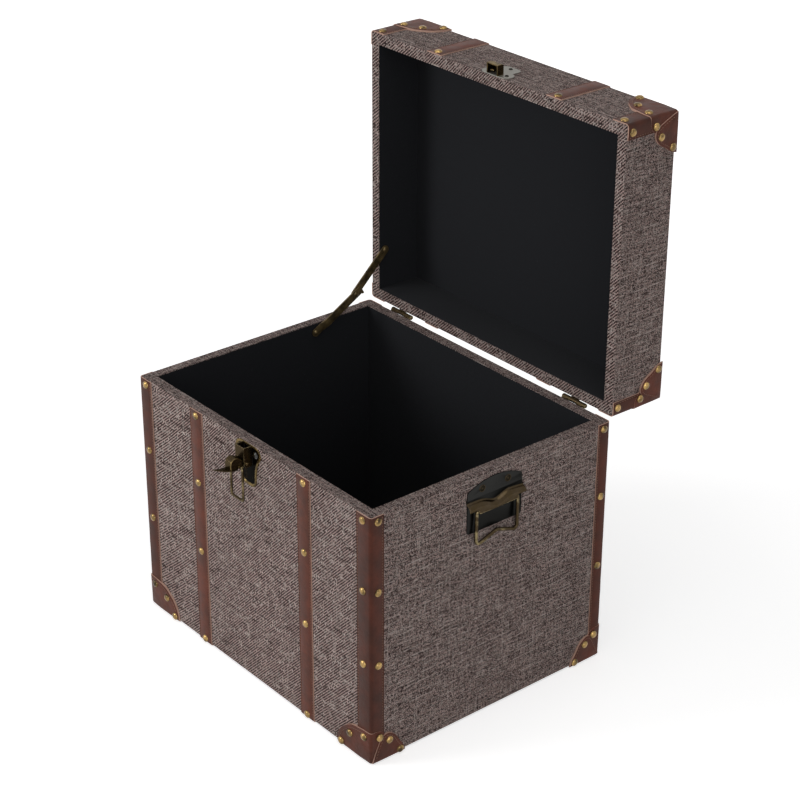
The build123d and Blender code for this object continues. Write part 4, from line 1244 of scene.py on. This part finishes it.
def eyelet_piece(y):
    """A rolled rivet head whose hollow middle is a flat dark disc of painted shade, with a small boss in it."""
    middle = (PLATE_FACE, y, EYELET_Z)
    ring = fresh("ring", bpy.ops.mesh.primitive_torus_add, major_segments=32, minor_segments=12, location=middle,
                 rotation=(0, radians(90), 0), major_radius=0.0034, minor_radius=0.0004)
    # The well is a thin dark disc on the plate's face: painted shade where the hollow would be.
    well = ball("well", 20, 12, 0.0030, location=middle, scale=(0.10, 1, 1))
    boss = ball("middle", 20, 12, 0.0011, location=middle, scale=(0.6, 1, 1))
    for piece, finish in ((ring, "rubbed"), (well, "dark"), (boss, "rubbed")):
        dress(only(piece), finish)
        bpy.ops.object.shade_smooth()
    return joined("eyelet", [ring, well, boss])


class TRUNK_OT_handles(bpy.types.Operator):
    """Models the handle plates with their lips, the eyelet rivets and the bails"""

    bl_idname = "trunk.handles"
    bl_label = "Side handles"

    def execute(self, context):
        plate = refined("handle_plate_right", 0.0, "bronze", "worn")
        for out, low in ((0.00002, 0.24245), (0.0052, 0.23)):
            away = cube("lip_away", (PLATE_FACE + out, -0.04, low), (PLATE_FACE + 0.02, 0.04, 0.26))
            cut(plate, away, "DIFFERENCE")
        ease(plate, ROUNDING, angle=40)
        right = joined("handle_plate_lipped_right", [plate, lip_piece()])
        left = twin(right, "handle_plate_lipped_left", FLIP_X)
        stands_for(right, "trunk", "dark_bronze", "handle_plate_right")
        stands_for(left, "trunk", "dark_bronze", "handle_plate_left")
        eyelets = [eyelet_piece(side * EYELET_Y) for side in (-1, 1)]
        eyelets += [twin(eyelet, "eyelet", FLIP_X) for eyelet in eyelets]
        stands_for(joined("handle_eyelets", eyelets), "trunk", "dark_bronze", "handle_rivets")
        for side in ("right", "left"):
            thicker("handle_bail_" + side, 0.0007, "wire")
        return {"FINISHED"}


ARM_EXTRA = 0.0006      # the stay's arms are this much wider all round than in the CAD model


class TRUNK_OT_hinges_and_stay(bpy.types.Operator):
    """Finishes the hinges and the folding lid stay"""

    bl_idname = "trunk.hinges_and_stay"
    bl_label = "Hinges and lid stay"

    def execute(self, context):
        for node in ("hinge_body_leaves", "hinge_lid_leaves", "hinge_pins", "hinge_body_screws", "hinge_lid_screws"):
            refined(node, FINE_ROUNDING, "brass", "worn")
        for node in ("stay_body_stud", "stay_elbow_rivet", "stay_lid_rivet"):
            refined(node, FINE_ROUNDING, "olive", "worn")
        for node in ("stay_lower_arm", "stay_upper_arm"):
            arm = refined(node, 0.0, "olive")
            for vertex in arm.data.vertices:
                vertex.co += ARM_EXTRA * Vector((0, vertex.normal.y, vertex.normal.z))
            ease(arm, FINE_ROUNDING)
        return {"FINISHED"}


# The reference view: bearing, rise and roll in degrees, distance and shifts in body heights
BEARING, RISE, ROLL = 50.351, 26.975, 0.202
DISTANCE, RIGHT_BY, UP_BY, LOOKS_AT = 7.911, 0.1095, 0.2591, 0.7
LENS = 2119.26 / 800    # focal length in picture widths
# Lamps: name, place, target, size, power
LAMPS = [("key", (-1.3, -2.4, 1.2), (0, 0, 0.25), 1.2, 31.5), ("fill", (2.6, -0.9, 1.0), (0, 0, 0.3), 1.8, 19),
         ("top", (0.2, -0.2, 2.6), (0, 0, 0.3), 1.8, 12.5)]
SOFT_LIGHT = 0.22       # the world's light on things
FLOOR_SIZE, FLOOR_DROP = 12, 0.0002
NEAR, FAR = 0.45, 1.8   # distances from the trunk's middle
NEAR_GLOW, FAR_GLOW = 0.62, 0.95


def area_light(name, place, target, size, power):
    light = bpy.data.lights.new(name, "AREA")
    light.shape, light.size, light.energy = "DISK", size, power
    lamp = bpy.data.objects.new(name, light)
    bpy.context.scene.collection.objects.link(lamp)
    lamp.location = place
    lamp.rotation_euler = (Vector(target) - lamp.location).to_track_quat("-Z", "Y").to_euler()


def photo_camera():
    """The camera of the reference view."""
    bearing, rise, roll = radians(BEARING), radians(RISE), radians(ROLL)
    back = Vector((sin(bearing) * cos(rise), -cos(bearing) * cos(rise), sin(rise)))
    right = (-back).cross(Vector((0, 0, 1))).normalized()
    up = right.cross(-back)
    turned_right = right * cos(roll) + up * sin(roll)
    turned_up = up * cos(roll) - right * sin(roll)
    eye = (back * DISTANCE + right * RIGHT_BY + up * UP_BY + Vector((0, 0, LOOKS_AT))) * BODY_TOP
    data = bpy.data.cameras.new("camera")
    data.sensor_width = 36
    data.lens = LENS * data.sensor_width
    camera = bpy.data.objects.new("camera", data)
    bpy.context.scene.collection.objects.link(camera)
    turn = Matrix((turned_right, turned_up, back)).transposed().to_4x4()
    camera.matrix_world = Matrix.Translation(eye) @ turn
    bpy.context.scene.camera = camera


def floor_paper():
    """White paper; its glow for the camera grows with distance, so near the trunk it keeps the shadow."""
    f = Finish("floor_paper")
    away = f.add("ShaderNodeVectorMath", {0: f.place}, operation="LENGTH").outputs["Value"]
    glow = f.times(f.seen_directly(), f.span(away, NEAR, FAR, NEAR_GLOW, FAR_GLOW))
    f.set(Base_Color=(0.80, 0.80, 0.80, 1), Roughness=0.9, Emission_Color=(1, 1, 1, 1), Emission_Strength=glow)
    return f.material


class TRUNK_OT_stage(bpy.types.Operator):
    """Sets the floor, the light and the camera"""

    bl_idname = "trunk.stage"
    bl_label = "Stage"

    def execute(self, context):
        photo_camera()
        floor = fresh("floor", bpy.ops.mesh.primitive_plane_add, size=FLOOR_SIZE, location=(0, 0, -FLOOR_DROP))
        floor.data.materials.append(floor_paper())
        world = bpy.data.worlds.new("studio")
        context.scene.world = world
        world.use_nodes = True
        nodes = Nodes(world.node_tree)
        strength = nodes.span(nodes.seen_directly(), 0.0, 1.0, SOFT_LIGHT, 1.0)
        background = nodes.nodes["Background"].inputs
        nodes.feed(background["Color"], (1, 1, 1, 1))
        nodes.feed(background["Strength"], strength)
        for lamp in LAMPS:
            area_light(*lamp)
        context.scene.view_settings.view_transform = "Standard"
        return {"FINISHED"}


STEPS = (TRUNK_OT_stage, TRUNK_OT_finishes, TRUNK_OT_straps, TRUNK_OT_corner_strips, TRUNK_OT_patches,
         TRUNK_OT_stitches, TRUNK_OT_tacks, TRUNK_OT_latch, TRUNK_OT_handles, TRUNK_OT_hinges_and_stay)


class TRUNK_PT_sidebar(bpy.types.Panel):
    """Sizes, colours and one button for each group of pieces"""

    bl_idname = "TRUNK_PT_sidebar"
    bl_label = "Storage trunk"
    bl_space_type = "VIEW_3D"
    bl_region_type = "UI"
    bl_category = "Trunk"

    def draw(self, context):
        for group in (context.scene.trunk_sizes, context.scene.trunk_colours):
            for name in group.__annotations__:
                self.layout.prop(group, name)
        for step in STEPS:
            self.layout.operator(step.bl_idname)


CLASSES = (TrunkSizes, TrunkColours, *STEPS, TRUNK_PT_sidebar)


def register():
    for each in CLASSES:
        bpy.utils.register_class(each)
    bpy.types.Scene.trunk_sizes = bpy.props.PointerProperty(type=TrunkSizes)
    bpy.types.Scene.trunk_colours = bpy.props.PointerProperty(type=TrunkColours)


def unregister():
    del bpy.types.Scene.trunk_colours
    del bpy.types.Scene.trunk_sizes
    for each in reversed(CLASSES):
        bpy.utils.unregister_class(each)


def main():
    register()
    for step in STEPS:
        group, name = step.bl_idname.split(".")
        getattr(getattr(bpy.ops, group), name)()


if __name__ == "__main__":
    main()
